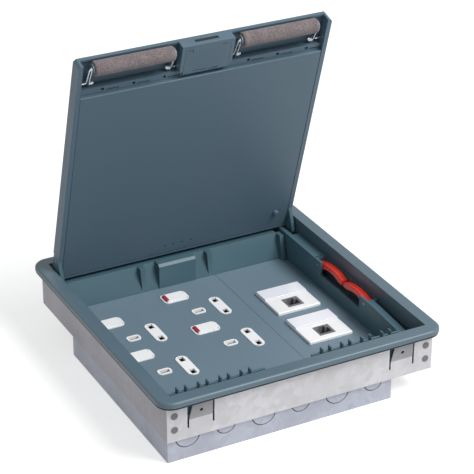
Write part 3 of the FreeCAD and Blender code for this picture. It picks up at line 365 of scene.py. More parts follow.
FINISHES: dict[str, Finish] = {
    "trim": Moulded("trim_plastic", "blue_grey_plastic", (86, 108, 120), 0.45, sheen=0.1),
    # The lid: the trim's plastic, made darker as painted shade because it faces forward and down.
    "lid": Moulded("lid_plastic_shaded", "blue_grey_plastic", (81, 103, 117), 0.5, grain=0.00003, mottle=0.03),
    "inner": Moulded("inner_plastic", "blue_grey_plastic", (72, 102, 113), 0.46),
    "paint": Powder("plate_paint", "blue_grey_paint", (110, 130, 143), 0.42),
    "zinc": Galvanised("zinc_upper", "galvanised", (203, 202, 205), 0.5, metal=0.4),
    "zinc_low": Galvanised("zinc_lower", "galvanised", (176, 180, 192), 0.46, metal=0.4),
    # The box's sides: the front plate's galvanised sheet, made darker as painted shade because they face away from
    # the light.
    "zinc_side_shaded": Galvanised("zinc_side_shaded", "galvanised", (172, 171, 176), 0.52, metal=0.35),
    # The spring tongues' bent tips: the same sheet, made darker as painted shade because they face down.
    "zinc_bent_shaded": Galvanised("zinc_bent_shaded", "bright_steel", (158, 158, 161), 0.55, metal=0.25),
    # Near-black for the bead under the flange: a painted shadow of the flange's overhang.
    "flange_shadow": Moulded("flange_shadow_strip", "dark_plastic", (46, 50, 54), 0.8),
    "rivet": Galvanised("rivet_zinc", "bright_steel", (116, 117, 120), 0.5, metal=0.3),
    # Dark galvanised colour for the floors of the knockout rings: painted shade in the grooves.
    "score_shade": Galvanised("scored_zinc_shaded", "galvanised", (70, 71, 76), 0.6, metal=0.2),
    "bright": Wire("bright_wire", "bright_steel", (225, 230, 235), 0.16),
    "white": Glossy("white_plastic", "white_plastic", (250, 250, 250), 0.3, translucence=0.02),
    "label": Glossy("label_strip", "clear_label", (242, 242, 249), 0.14),
    # Near-black plastic; on the shutters and pin sleeves it is painted shade in the holes.
    "dark": Moulded("dark_plastic", "dark_plastic", (34, 32, 34), 0.7),
    "jack": Moulded("jack_plastic", "dark_plastic", (112, 112, 116), 0.5),
    # Grey-brown for the earth hole's sleeve: painted shade, darker than the white cover.
    "earth_well": Moulded("earth_well_shade", "dark_plastic", (146, 138, 130), 0.7),
    "red": Glossy("red_plastic", "red_plastic", (228, 58, 40), 0.34, translucence=0.03),
    "mark": Glossy("mark_plastic", "red_plastic", (176, 36, 54), 0.4),
    "brass": Wire("brass", "brass", (205, 170, 95), 0.25),
    "steel": Wire("steel", "steel", (170, 172, 176), 0.3),
    "foam": Foam("foam", "foam", (124, 113, 115)),
    "cheek": Moulded("cheek_plastic", "blue_grey_plastic", (104, 128, 140), 0.4),
}

SLOT_FINISH = {
    "blue_grey_plastic": "inner", "blue_grey_paint": "paint", "galvanised": "zinc", "bright_steel": "bright",
    "white_plastic": "white", "clear_label": "label", "dark_plastic": "dark", "red_plastic": "red",
    "brass": "brass", "steel": "steel", "foam": "foam",
}

NODE_FINISH = {
    # The lid's parts get the darker copy of the plastic: painted shade.
    **dict.fromkeys(("lid_tray", "lid_panel", "lid_peg", "latch_cover"), "lid"),
    **dict.fromkeys(("front_plate", "back_plate", "lid_plate"), "zinc"),
    **dict.fromkeys(("data_jack_1", "data_jack_2"), "jack"),
    # The shutters are near-black: painted shade in the pin holes.
    **dict.fromkeys([f"shutter_{number}" for number in range(1, 5)], "dark"),
    # upper_box gets the darker galvanised copy: painted shade on its sides.
    "trim_frame": "trim", "lower_box": "zinc_low", "upper_box": "zinc_side_shaded", "plate_rivets": "rivet",
    "latch_bolt": "dark",
}
NODE_SLOT = {part["node"]: part["material_slot"] for part in frame["record"]["subparts"]}
Rule = Callable[[Vector], "Vector | None"]


def node_finish(node: str) -> str:
    """Return the key of a CAD node's finish."""
    return NODE_FINISH.get(node, SLOT_FINISH[NODE_SLOT[node]])


class Materials:
    """Builds each finish once and hands out its material."""

    def __init__(self) -> None:
        """Start with no material built."""
        self.built: dict[str, bpy.types.Material] = {}

    def get(self, name: str) -> bpy.types.Material:
        """Return the material of a finish, built on first use.

        Args:
            name: the finish's key.

        Returns:
            The material.
        """
        if name not in self.built:
            self.built[name] = FINISHES[name].build()
        return self.built[name]


materials = Materials()


# ---------------------------------------------------------------------------------------------
# Mesh helpers
# ---------------------------------------------------------------------------------------------

@dataclass
class Shape:
    """A growing list of points and faces."""

    points: list[Vector] = field(default_factory=list)
    faces: list[tuple[int, ...]] = field(default_factory=list)

    def join(self, other: "Shape") -> "Shape":
        """Add another shape and return this one."""
        start = len(self.points)
        self.points += other.points
        self.faces += [tuple(i + start for i in face) for face in other.faces]
        return self


def piece(name: str, shape: Shape, finish: str, body: str, smooth: bool = True) -> bpy.types.Object:
    """Make a mesh piece that rides on a body.

    Args:
        name: the piece's name.
        shape: its points, in the row frame, and faces.
        finish: the finish's key.
        body: the body's name.
        smooth: True for smooth shading.

    Returns:
        The new object.
    """
    mesh = bpy.data.meshes.new(name)
    mesh.from_pydata([tuple(p) for p in shape.points], [], [tuple(f) for f in shape.faces])
    mesh.validate()
    mesh.polygons.foreach_set("use_smooth", [smooth] * len(mesh.polygons))
    item = bpy.data.objects.new(name, mesh)
    bpy.context.scene.collection.objects.link(item)
    item.data.materials.append(materials.get(finish))
    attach(item, body)
    log.info("piece %s: %d faces on %s", name, len(mesh.polygons), body)
    return item


def loft(rings: Sequence[Sequence[Vector]]) -> Shape:
    """Return a closed skin over rings of equal count, with a fan over each end.

    Args:
        rings: the rings, each a closed loop of points.

    Returns:
        The skin.
    """
    count = len(rings[0])
    points = [p for ring in rings for p in ring]
    faces: list[tuple[int, ...]] = []
    for row in range(len(rings) - 1):
        for i in range(count):
            j = (i + 1) % count
            faces.append((row * count + i, row * count + j, (row + 1) * count + j, (row + 1) * count + i))
    for ring, start, turn in ((rings[0], 0, -1), (rings[-1], (len(rings) - 1) * count, 1)):
        centre = sum((Vector(p) for p in ring), Vector()) / count
        points.append(centre)
        hub = len(points) - 1
        loop = [(start + i, start + (i + 1) % count) for i in range(count)]
        faces += [(hub, a, b) if turn > 0 else (hub, b, a) for a, b in loop]
    return Shape(points, faces)


def hoop(rings: Sequence[Sequence[Vector]]) -> Shape:
    """Return a closed skin over rings of equal count, the last joined to the first.

    Args:
        rings: the rings, each a closed loop of points.

    Returns:
        The skin.
    """
    count, rows = len(rings[0]), len(rings)
    points = [p for ring in rings for p in ring]
    faces = []
    for row in range(rows):
        near, next_row = row * count, (row + 1) % rows * count
        for i in range(count):
            j = (i + 1) % count
            faces.append((near + i, near + j, next_row + j, next_row + i))
    return Shape(points, faces)


def rounded_path(corners: Sequence[Vector], radius: float, steps: int = 6) -> list[Vector]:
    """Return a path through corners with each inner corner turned on an arc-like curve.

    Args:
        corners: the corner points.
        radius: how far before and after a corner the bend reaches.
        steps: points in each bend.

    Returns:
        The path's points.
    """
    path = [corners[0]]
    for before, corner, after in zip(corners, corners[1:], corners[2:]):
        reach_in = min(radius, (corner - before).length / 2)
        reach_out = min(radius, (after - corner).length / 2)
        start = corner + (before - corner).normalized() * reach_in
        end = corner + (after - corner).normalized() * reach_out
        for step in range(steps + 1):
            t = step / steps
            path.append(start * (1 - t) ** 2 + corner * 2 * t * (1 - t) + end * t ** 2)
    path.append(corners[-1])
    return path


def tube(path: Sequence[Vector], radius: float, sides: int = 12) -> Shape:
    """Return a round wire along a path, its ends rounded off.

    Args:
        path: the points it follows.
        radius: the wire's radius.
        sides: points round the wire.

    Returns:
        The wire.
    """
    points = [Vector(p) for p in path]
    last = len(points) - 1
    tangents = [(points[min(i + 1, last)] - points[max(i - 1, 0)]).normalized() for i in range(last + 1)]
    side = tangents[0].orthogonal().normalized()
    frames = []
    for tangent in tangents:
        side = (side - tangent * side.dot(tangent)).normalized()
        frames.append((side.copy(), tangent.cross(side)))

    def ring(centre: Vector, index: int, size: float) -> list[Vector]:
        """Return a ring square to the path."""
        a, b = frames[index]
        return [centre + (a * math.cos(turn) + b * math.sin(turn)) * size
                for turn in (2 * math.pi * i / sides for i in range(sides))]

    rings = []
    for size, back in ((0.5, 0.0), (0.87, 0.13)):
        rings.append(ring(points[0] + tangents[0] * radius * back, 0, radius * size))
    rings += [ring(points[i] + (tangents[i] * radius * 0.5 if i == 0 else
                                -tangents[i] * radius * 0.5 if i == last else Vector()), i, radius)
              for i in range(last + 1)]
    for size, back in ((0.87, 0.13), (0.5, 0.0)):
        rings.append(ring(points[-1] - tangents[-1] * radius * back, last, radius * size))
    return loft(rings)


def slab(outline: Sequence[tuple[float, float]], low: float, high: float, edge: float) -> Shape:
    """Return a flat slab with its top edge rounded.

    Args:
        outline: the corners in X and Y, anticlockwise.
        low: the underside's Z.
        high: the top's Z.
        edge: the top edge's radius.

    Returns:
        The slab.
    """
    middle = Vector((sum(x for x, _ in outline) / len(outline), sum(y for _, y in outline) / len(outline), 0))
    span = max((Vector((x, y, 0)) - middle).length for x, y in outline)

    def ring(inset: float, z: float) -> list[Vector]:
        """Return the outline at a height, drawn in towards its middle."""
        factor = 1 - inset / span
        return [Vector((middle.x + (x - middle.x) * factor, middle.y + (y - middle.y) * factor, z))
                for x, y in outline]

    rings = [ring(0, low), ring(0, high - edge)]
    for turn in (30, 60, 90):
        angle = math.radians(turn)
        rings.append(ring(edge * (1 - math.cos(angle)), high - edge + edge * math.sin(angle)))
    return loft(rings)


def rounded_rectangle(x: float, y: float, width: float, height: float, radius: float,
                      steps: int = 5) -> list[tuple[float, float]]:
    """Return a rounded rectangle's outline.

    Args:
        x: its centre.
        y: its centre.
        width: its size along X.
        height: its size along Y.
        radius: its corners' radius.
        steps: runs in each corner.

    Returns:
        The points, anticlockwise.
    """
    points = []
    for sign_x, sign_y, start in ((1, 1, 0), (-1, 1, 90), (-1, -1, 180), (1, -1, 270)):
        centre_x = x + sign_x * (width / 2 - radius)
        centre_y = y + sign_y * (height / 2 - radius)
        for step in range(steps + 1):
            angle = math.radians(start + 90 * step / steps)
            points.append((centre_x + radius * math.cos(angle), centre_y + radius * math.sin(angle)))
    return points


# ---------------------------------------------------------------------------------------------
# CAD nodes
# ---------------------------------------------------------------------------------------------

class Edge(Enum):
    """How far a piece's sharp edges are rounded, in metres."""

    NONE = 0.0
    SHEET = 0.00025
    FINE = 0.0004
    SOFT = 0.0008


class Cut(Enum):
    """How a tool shape changes a reshaped copy."""

    AWAY = "DIFFERENCE"
    ON = "UNION"


NODE_EDGE = {
    **dict.fromkeys(("trim_frame", "side_channel", "rear_lever", "front_lever"), Edge.SOFT),
    **dict.fromkeys(("lid_tray", "lid_panel", "latch_cover", "latch_bolt", "rear_moulding", "front_comb",
                     "data_module_1", "data_module_2", "label_window_1", "label_window_2", "hinge_arm_left",
                     "hinge_arm_right", "rocker_1", "rocker_2", "rocker_3", "rocker_4"), Edge.FINE),
    **dict.fromkeys(("upper_box", "lower_box", "front_plate", "back_plate", "power_plate", "data_plate",
                     "socket_cover_1", "socket_cover_2", "plate_screws", "plate_rivets", "earth_nut"), Edge.SHEET),
}
WELD = 0.000002
CLOSE = 0.03
NEAR = 0.05
FLAT = math.radians(0.4)
SHARP = math.radians(40)


def soften(item: bpy.types.Object, edge: Edge) -> None:
    """Round a piece's sharp edges with modifiers, which leave its mesh alone.

    Args:
        item: the piece's object.
        edge: the rounding.
    """
    if edge is Edge.NONE:
        return
    weld = item.modifiers.new("weld", "WELD")
    weld.merge_threshold = WELD
    flat = item.modifiers.new("flat", "DECIMATE")
    flat.decimate_type = "DISSOLVE"
    flat.angle_limit = FLAT
    bevel = item.modifiers.new("bevel", "BEVEL")
    bevel.width = edge.value
    bevel.segments = 2
    bevel.limit_method = "ANGLE"
    bevel.angle_limit = SHARP
    bevel.use_clamp_overlap = True
    normals = item.modifiers.new("normals", "WEIGHTED_NORMAL")
    normals.keep_sharp = False


def block(place: Callable[[float, float, float], Vector], first: Colour, last: Colour) -> Shape:
    """Return a block between two corners, each three numbers that place turns into a point."""
    points = [place(x, y, z)
              for z in (first[2], last[2]) for y in (first[1], last[1]) for x in (first[0], last[0])]
    return Shape(points, [(0, 2, 3, 1), (4, 5, 7, 6), (0, 1, 5, 4), (2, 6, 7, 3), (0, 4, 6, 2), (1, 3, 7, 5)])


class Refit:
    """A copy of one CAD node that is reshaped and shown in the node's place."""

    made: set[str] = set()

    def __init__(self, node: str) -> None:
        """Copy a node's mesh, welded and with its flat faces whole.

        Args:
            node: the node's name.
        """
        self.node = node
        self.source = frame["nodes"][node]
        self.item = bpy.data.objects.new(f"{node}_made", self.source.data.copy())
        bpy.context.scene.collection.objects.link(self.item)
        skin = bmesh.new()
        skin.from_mesh(self.item.data)
        bmesh.ops.remove_doubles(skin, verts=skin.verts, dist=WELD)
        bmesh.ops.dissolve_limit(skin, angle_limit=FLAT, verts=skin.verts, edges=skin.edges)
        skin.to_mesh(self.item.data)
        skin.free()

    def move(self, rule: Rule) -> "Refit":
        """Move points.

        Args:
            rule: gives a point's new place in millimetres, or None to leave it.

        Returns:
            This copy.
        """
        for vertex in self.item.data.vertices:
            place = rule(vertex.co / MM)
            if place is not None:
                vertex.co = place * MM
        self.item.data.update()
        return self

    def carve(self, shape: Shape, cut: Cut = Cut.AWAY) -> "Refit":
        """Cut a closed shape away, or join it on.

        Args:
            shape: the closed shape.
            cut: what it does to this copy.

        Returns:
            This copy.
        """
        mesh = bpy.data.meshes.new("tool")
        mesh.from_pydata([tuple(p) for p in shape.points], [], shape.faces)
        skin = bmesh.new()
        skin.from_mesh(mesh)
        bmesh.ops.recalc_face_normals(skin, faces=skin.faces)
        skin.to_mesh(mesh)
        skin.free()
        tool = bpy.data.objects.new("tool", mesh)
        bpy.context.scene.collection.objects.link(tool)
        step = self.item.modifiers.new("carve", "BOOLEAN")
        step.operation = cut.value
        step.solver = "EXACT"
        step.use_self = True
        step.object = tool
        bpy.context.view_layer.update()
        graph = bpy.context.evaluated_depsgraph_get()
        self.item.data = bpy.data.meshes.new_from_object(self.item.evaluated_get(graph))
        self.item.modifiers.clear()
        bpy.data.objects.remove(tool)
        return self

    def paint(self, finish: str, test: Callable[[Vector], bool]) -> "Refit":
        """Give some faces a second finish.

        Args:
            finish: the finish's key.
            test: says if a face's middle, in millimetres, is one of them.

        Returns:
            This copy.
        """
        self.item.data.materials.append(materials.get(finish))
        for face in self.item.data.polygons:
            if test(face.center / MM):
                face.material_index = len(self.item.data.materials) - 1
        return self

    def show(self, edge: Edge | None = None) -> None:
        """Dress the copy and put it in the node's place.

        Args:
            edge: the rounding, or None for the node's own.
        """
        self.item.data.materials[0] = materials.get(node_finish(self.node))
        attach(self.item, self.source["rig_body"])
        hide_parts(self.node)
        Refit.made.add(self.node)
        soften(self.item, NODE_EDGE.get(self.node, Edge.NONE) if edge is None else edge)
        log.info("refit %s: %d faces", self.node, len(self.item.data.polygons))


def dress_nodes(refitted: set[str]) -> None:
    """Give every CAD node its finish and round the sharp edges of those that are shown.

    Args:
        refitted: the nodes that a reshaped copy stands for.
    """
    for name, item in frame["nodes"].items():
        for material_slot in item.material_slots:
            material_slot.link = "OBJECT"
            material_slot.material = materials.get(node_finish(name))
        if name not in refitted:
            soften(item, NODE_EDGE.get(name, Edge.NONE))
        log.info("node %s: %s", name, node_finish(name))


# ---------------------------------------------------------------------------------------------
# Sub-assemblies
# ---------------------------------------------------------------------------------------------

@dataclass
class LidFrame:
    """The lid's own frame: reach runs from the hinge edge to the latch, depth down from the top face."""

    back: float = 5.0 * MM
    top: float = 5.4 * MM
    pivot: Vector = field(default_factory=Vector)
    opening: float = 0.0

    def __post_init__(self) -> None:
        """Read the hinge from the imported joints."""
        hinge = next(j for j in frame["joints"] if j["name"] == "lid_hinge")
        self.pivot = Vector(hinge["pos_m"])
        self.opening = -math.radians(hinge["range_deg"][0])

    def at(self, x: float, reach: float, depth: float) -> Vector:
        """Return the row-frame place of x, reach and depth."""
        local = Vector((x, self.back - reach, self.top - depth))
        return self.pivot + Matrix.Rotation(-self.opening, 3, "X") @ local

    def local(self, point: Vector) -> tuple[float, float, float]:
        """Return the x, reach and depth of a place in the row frame."""
        own = Matrix.Rotation(self.opening, 3, "X") @ (point - self.pivot)
        return own.x, self.back - own.y, self.top - own.z


@dataclass
class CableOutlet:
    """One cable outlet of the lid: a foam roll on a sprung wire bail."""

    side: int
    lid: LidFrame
    near: float = 30.4 * MM
    far: float = 111.2 * MM
    stub: float = 9.2 * MM
    start: float = 33.2 * MM
    end: float = 108.2 * MM
    radius: float = 6.9 * MM
    pivot_reach: float = 226.5 * MM
    pivot_depth: float = 5.4 * MM
    roll_reach: float = 245.2 * MM
    roll_depth: float = 10.2 * MM
    wire: float = 1.0 * MM
    wire_bend: float = 2.2 * MM
    into_tray: float = 7.0 * MM
    spring_wire: float = 0.6 * MM
    spring_radius: float = 1.75 * MM
    spring_turns: int = 3
    spring_sides: int = 14
    spring_gap: float = 1.6 * MM
    cheek_half: float = 0.65 * MM
    cheek_gap: float = 0.9 * MM
    crown: float = 0.7 * MM
    crown_run: float = 1.1 * MM
    roll_rings: int = 72
    roll_sides: int = 48

    @property
    def word(self) -> str:
        """Return the outlet's word in names."""
        return "left" if self.side < 0 else "right"

    def arm(self, x: float, share: float, lift: float = 0.0) -> Vector:
        """Return a place on the line from the bail's pivot to the roll's core.

        Args:
            x: distance from the lid's middle.
            share: 0 at the pivot, 1 at the core.
            lift: distance off that line, towards the underside.

        Returns:
            The point.
        """
        reach = self.pivot_reach + (self.roll_reach - self.pivot_reach) * share
        depth = self.pivot_depth + (self.roll_depth - self.pivot_depth) * share
        return self.lid.at(self.side * x, reach, depth + lift)

    def bail(self) -> None:
        """Build the bail: one wire through the roll, turned down at both ends to its pivots."""
        corners = [self.arm(self.near - self.into_tray, 0), self.arm(self.near, 0), self.arm(self.near, 1),
                   self.arm(self.far, 1), self.arm(self.far, 0), self.arm(self.far + self.stub, 0)]
        shape = tube(rounded_path(corners, self.wire_bend), self.wire, 14)
        item = piece(f"bail_wire_{self.word}", shape, "bright", f"outlet_{self.word}")
        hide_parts(f"roll_bail_{self.word}")

    def spring(self, end: float, outward: int, name: str) -> None:
        """Build a torsion spring: turns round the pivot and a leg that hooks over the core.

        Args:
            end: the arm's distance from the lid's middle.
            outward: +1 if the turns lie beyond the arm, -1 if before it.
            name: the piece's name.
        """
        pitch = 2.3 * self.spring_wire
        start = end + outward * self.spring_gap
        path = []
        for step in range(self.spring_turns * self.spring_sides + 1):
            angle = 2 * math.pi * step / self.spring_sides
            x = start + outward * pitch * (self.spring_turns - angle / (2 * math.pi))
            path.append(self.lid.at(self.side * x, self.pivot_reach + self.spring_radius * math.sin(angle),
                                    self.pivot_depth + self.spring_radius * math.cos(angle)))
        leg = [path[-1], self.arm(start, 0.25, 2.0 * MM), self.arm(start, 0.9, 1.5 * MM),
               self.arm(start, 1.06, 0.6 * MM), self.arm(start - outward * 0.9 * MM, 1.08, -0.4 * MM)]
        path += rounded_path(leg, 1.2 * MM, 4)[1:]
        shape = tube(path, self.spring_wire, 8)
        piece(name, shape, "bright", f"outlet_{self.word}")

    def roll(self) -> None:
        """Build the foam roll, crowned at its ends and slightly uneven."""
        length = self.end - self.start
        first = self.start if self.side > 0 else -self.end
        centre = self.lid.at(0, self.roll_reach, self.roll_depth)
        rings = []
        for step in range(self.roll_rings + 1):
            share = step / self.roll_rings
            x = first + length * share
            end = min(share, 1 - share) * length
            size = self.radius - 0.12 * MM - self.crown * max(0.0, 1 - end / self.crown_run) ** 2
            ring = []
            for turn in range(self.roll_sides):
                angle = 2 * math.pi * turn / self.roll_sides
                grain = noise.noise(Vector((x * 260, math.cos(angle) * 1.6, math.sin(angle) * 1.6 + self.side)))
                fine = noise.noise(Vector((x * 1500, math.cos(angle) * 8, math.sin(angle) * 8)))
                local = size + 0.08 * MM * grain + 0.03 * MM * fine
                ring.append(Vector((x, centre.y + local * math.cos(angle), centre.z + local * math.sin(angle))))
            rings.append(ring)
        shape = loft(rings)
        item = piece(f"foam_{self.word}", shape, "foam", f"outlet_{self.word}")
        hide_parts(f"foam_roll_{self.word}")

    def cheek(self, x: float, name: str) -> None:
        """Build one plastic cheek between a bail arm and the roll's end.

        Args:
            x: its middle, from the lid's middle.
            name: the piece's name.
        """
        outline = []
        for reach, depth, radius, first, last in (
                (self.pivot_reach, self.pivot_depth, 2.6 * MM, 150, 300),
                (self.roll_reach, self.roll_depth, 4.6 * MM, -50, 110),
                (self.roll_reach - 1.5 * MM, 3.6 * MM, 1.6 * MM, 120, 190)):
            for step in range(7):
                angle = math.radians(first + (last - first) * step / 6)
                outline.append((reach + radius * math.cos(angle), depth + radius * math.sin(angle)))
        rings = [[self.lid.at(self.side * (x + offset), *place) for place in outline]
                 for offset in (-self.cheek_half, self.cheek_half)]
        shape = loft(rings)
        item = piece(name, shape, "cheek", f"outlet_{self.word}", smooth=False)
        soften(item, Edge.SHEET)

    def build(self) -> None:
        """Build the outlet."""
        self.bail()
        self.roll()
        self.cheek(self.start - self.cheek_gap, f"cheek_{self.word}_inner")
        self.cheek(self.end + self.cheek_gap, f"cheek_{self.word}_outer")
        self.spring(self.near, 1, f"spring_{self.word}_inner")
        self.spring(self.far, -1, f"spring_{self.word}_outer")


@dataclass
class RockerMark:
    """The red bar let into the raised end of one rocker."""

    number: int
    width: float = 3.2 * MM
    length: float = 10.8 * MM
    corner: float = 1.0 * MM
    inset: float = -0.15 * MM
    proud: float = 0.1 * MM
    edge: float = 0.06 * MM
    wrap: float = 1.6 * MM
    fall: float = 1.25 * MM

    def build(self) -> None:
        """Build the bar on its rocker's face, which falls from the raised end to the middle."""
        low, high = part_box(f"rocker_{self.number}")
        half = (high.x - low.x) / 2
        slope = -self.fall / half
        x = low.x + self.inset + self.width / 2
        y = (low.y + high.y) / 2
        outline = rounded_rectangle(x, y, self.width, self.length, self.corner)
        shape = slab(outline, -self.wrap, self.proud, self.edge)
        points = [Vector((p.x, p.y, p.z + high.z + slope * (p.x - low.x))) for p in shape.points]
        piece(f"rocker_mark_{self.number}", Shape(points, shape.faces), "mark", f"rocker_{self.number}")


@dataclass
class JackContacts:
    """The eight sprung contacts inside one data jack's mouth."""

    number: int
    count: int = 8
    pitch: float = 1.02 * MM
    wire: float = 0.2 * MM
    bend: float = 1.0 * MM
    back: float = 0.6 * MM
    run: tuple[tuple[float, float], ...] = ((-3.7, 2.2), (-2.4, 2.6), (2.6, 6.5), (3.7, 8.5))

    def build(self) -> None:
        """Build the contacts as one group, each along a run of places across and below the mouth."""
        low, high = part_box(f"data_jack_{self.number}")
        x = (low.x + high.x) / 2
        y = (low.y + high.y) / 2 - self.back
        group = Shape()
        for index in range(self.count):
            place = x + (index - (self.count - 1) / 2) * self.pitch
            corners = [Vector((place, y + across * MM, high.z - below * MM)) for across, below in self.run]
            group.join(tube(rounded_path(corners, self.bend), self.wire, 8))
        piece(f"jack_contacts_{self.number}", group, "brass", "box")


def earth_holes() -> list[tuple[float, float]]:
    """Return the middles of the four outlets' earth holes in millimetres, in the outlets' order."""
    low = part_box("trim_frame")[0] / MM
    first_x, first_y, twin_x, twin_y, pitch = 53.5, 170.9, 74.4, 16.65, 64.1
    return [(low.x + first_x + twin * twin_x, low.y + first_y + twin * twin_y - row * pitch)
            for twin in range(2) for row in range(2)]


PIN_SPACING = 22.23


@dataclass
class PinWells:
    """Sleeves inside the pin holes of one outlet's front moulding, in millimetres: near-black in the pin holes and
    grey-brown in the earth hole, as painted shade.
    """

    number: int
    low: float = 19.1
    high: float = 22.7
    earth_drop: float = 0.6
    wall: float = 0.35
    corner: float = 0.5
    pin_size: tuple[float, float] = (4.96, 7.56)
    earth_size: tuple[float, float] = (9.36, 4.96)

    def sleeve(self, x: float, y: float, size: tuple[float, float], high: float) -> Shape:
        """Return one sleeve.

        Args:
            x: its middle.
            y: its middle.
            size: its outside along X and Y.
            high: its top.

        Returns:
            The sleeve.
        """
        rings = []
        for wall, z in ((0.0, self.low), (0.0, high), (self.wall, high), (self.wall, self.low)):
            outline = rounded_rectangle(x, y, size[0] - 2 * wall, size[1] - 2 * wall, self.corner, 3)
            rings.append([Vector((px, py, z)) * MM for px, py in outline])
        return hoop(rings)

    def build(self) -> None:
        """Build the line and neutral sleeves as one piece and the earth sleeve as another."""
        x, y = earth_holes()[self.number - 1]
        pins = Shape()
        for side in (-1, 1):
            pins.join(self.sleeve(x + PIN_SPACING, y + side * PIN_SPACING / 2, self.pin_size, self.high))
        # Near-black sleeves: painted shade in the line and neutral holes.
        piece(f"pin_wells_{self.number}", pins, "dark", "box", smooth=False)
        # The earth sleeve is grey-brown: painted shade in the earth hole.
        earth = self.sleeve(x, y, self.earth_size, self.high - self.earth_drop)
        piece(f"earth_well_{self.number}", earth, "earth_well", "box", smooth=False)


@dataclass(frozen=True)
class Window:
    """One kind of window in an outlet, in millimetres: its old shape and the one it gets."""

    x: float
    y: float
    half_x: float
    half_y: float
    new_x: float
    new_y: float
    left: float
    right: float

    def fit(self, dx: float, dy: float, grow: float, radius: float) -> tuple[float, float] | None:
        """Return where a point of the old outline goes, or None if it isn't on it.

        Args:
            dx: the point's distance from the window's middle along X.
            dy: the same along Y.
            grow: how far the outline stands outside the window's own size.
            radius: its old corner radius.

        Returns:
            The point's new distances, or None.
        """
        on_arc = 0.06
        old_x, old_y = self.half_x + grow, self.half_y + grow
        if abs(dx) > old_x + NEAR or abs(dy) > old_y + NEAR:
            return None
        side_x, side_y = math.copysign(1, dx), math.copysign(1, dy)
        run_x, run_y = abs(dx) - (old_x - radius), abs(dy) - (old_y - radius)
        turn = (self.right if dx > 0 else self.left) + grow
        wide, tall = self.new_x + grow, self.new_y + grow
        if run_x > -0.01 and run_y > -0.01:
            if abs(math.hypot(run_x, run_y) - radius) > on_arc:
                return None
            angle = math.atan2(run_y, run_x)
            return side_x * (wide - turn + turn * math.cos(angle)), side_y * (tall - turn + turn * math.sin(angle))
        if abs(abs(dx) - old_x) < NEAR:
            return side_x * wide, dy * (tall - turn) / (old_y - radius)
        if abs(abs(dy) - old_y) < NEAR:
            return dx * (wide - turn) / (old_x - radius), side_y * tall
        return None


@dataclass
class Windows:
    """Rounds the outlet windows of the power plate and of the mouldings that fill them."""

    pins: Window = Window(PIN_SPACING, 0.0, 6.8, 16.8, 5.5, 16.6, 4.9, 4.9)
    switch: Window = Window(-8.6, 33.4, 12.7, 8.2, 12.7, 8.2, 3.8, 4.8)
    plate_gap: float = 0.25
    plate_radius: float = 3.4
    cover_radius: float = 3.2
    floor: float = 22.0

    def rule(self, grow: float, radius: float) -> Rule:
        """Return a rule that turns the old windows' outlines into the new ones.

        Args:
            grow: how far the outline stands outside the window's own size.
            radius: its old corner radius.

        Returns:
            The rule.
        """
        places = [(x + window.x, y + window.y, window) for x, y in earth_holes()
                  for window in (self.pins, self.switch)]

        def reshape(point: Vector) -> Vector | None:
            """Return a point's new place.

            Args:
                point: a place in millimetres.

            Returns:
                Its new place, or None to leave it.
            """
            for x, y, window in places:
                fitted = window.fit(point.x - x, point.y - y, grow, radius)
                if fitted and point.z >= self.floor:
                    return Vector((x + fitted[0], y + fitted[1], point.z))
            return None
        return reshape

    def build(self) -> None:
        """Build the power plate and the two front mouldings."""
        Refit("power_plate").move(self.rule(self.plate_gap, self.plate_radius)).show()
        for number in (1, 2):
            Refit(f"socket_cover_{number}").move(self.rule(0.0, self.cover_radius)).show()


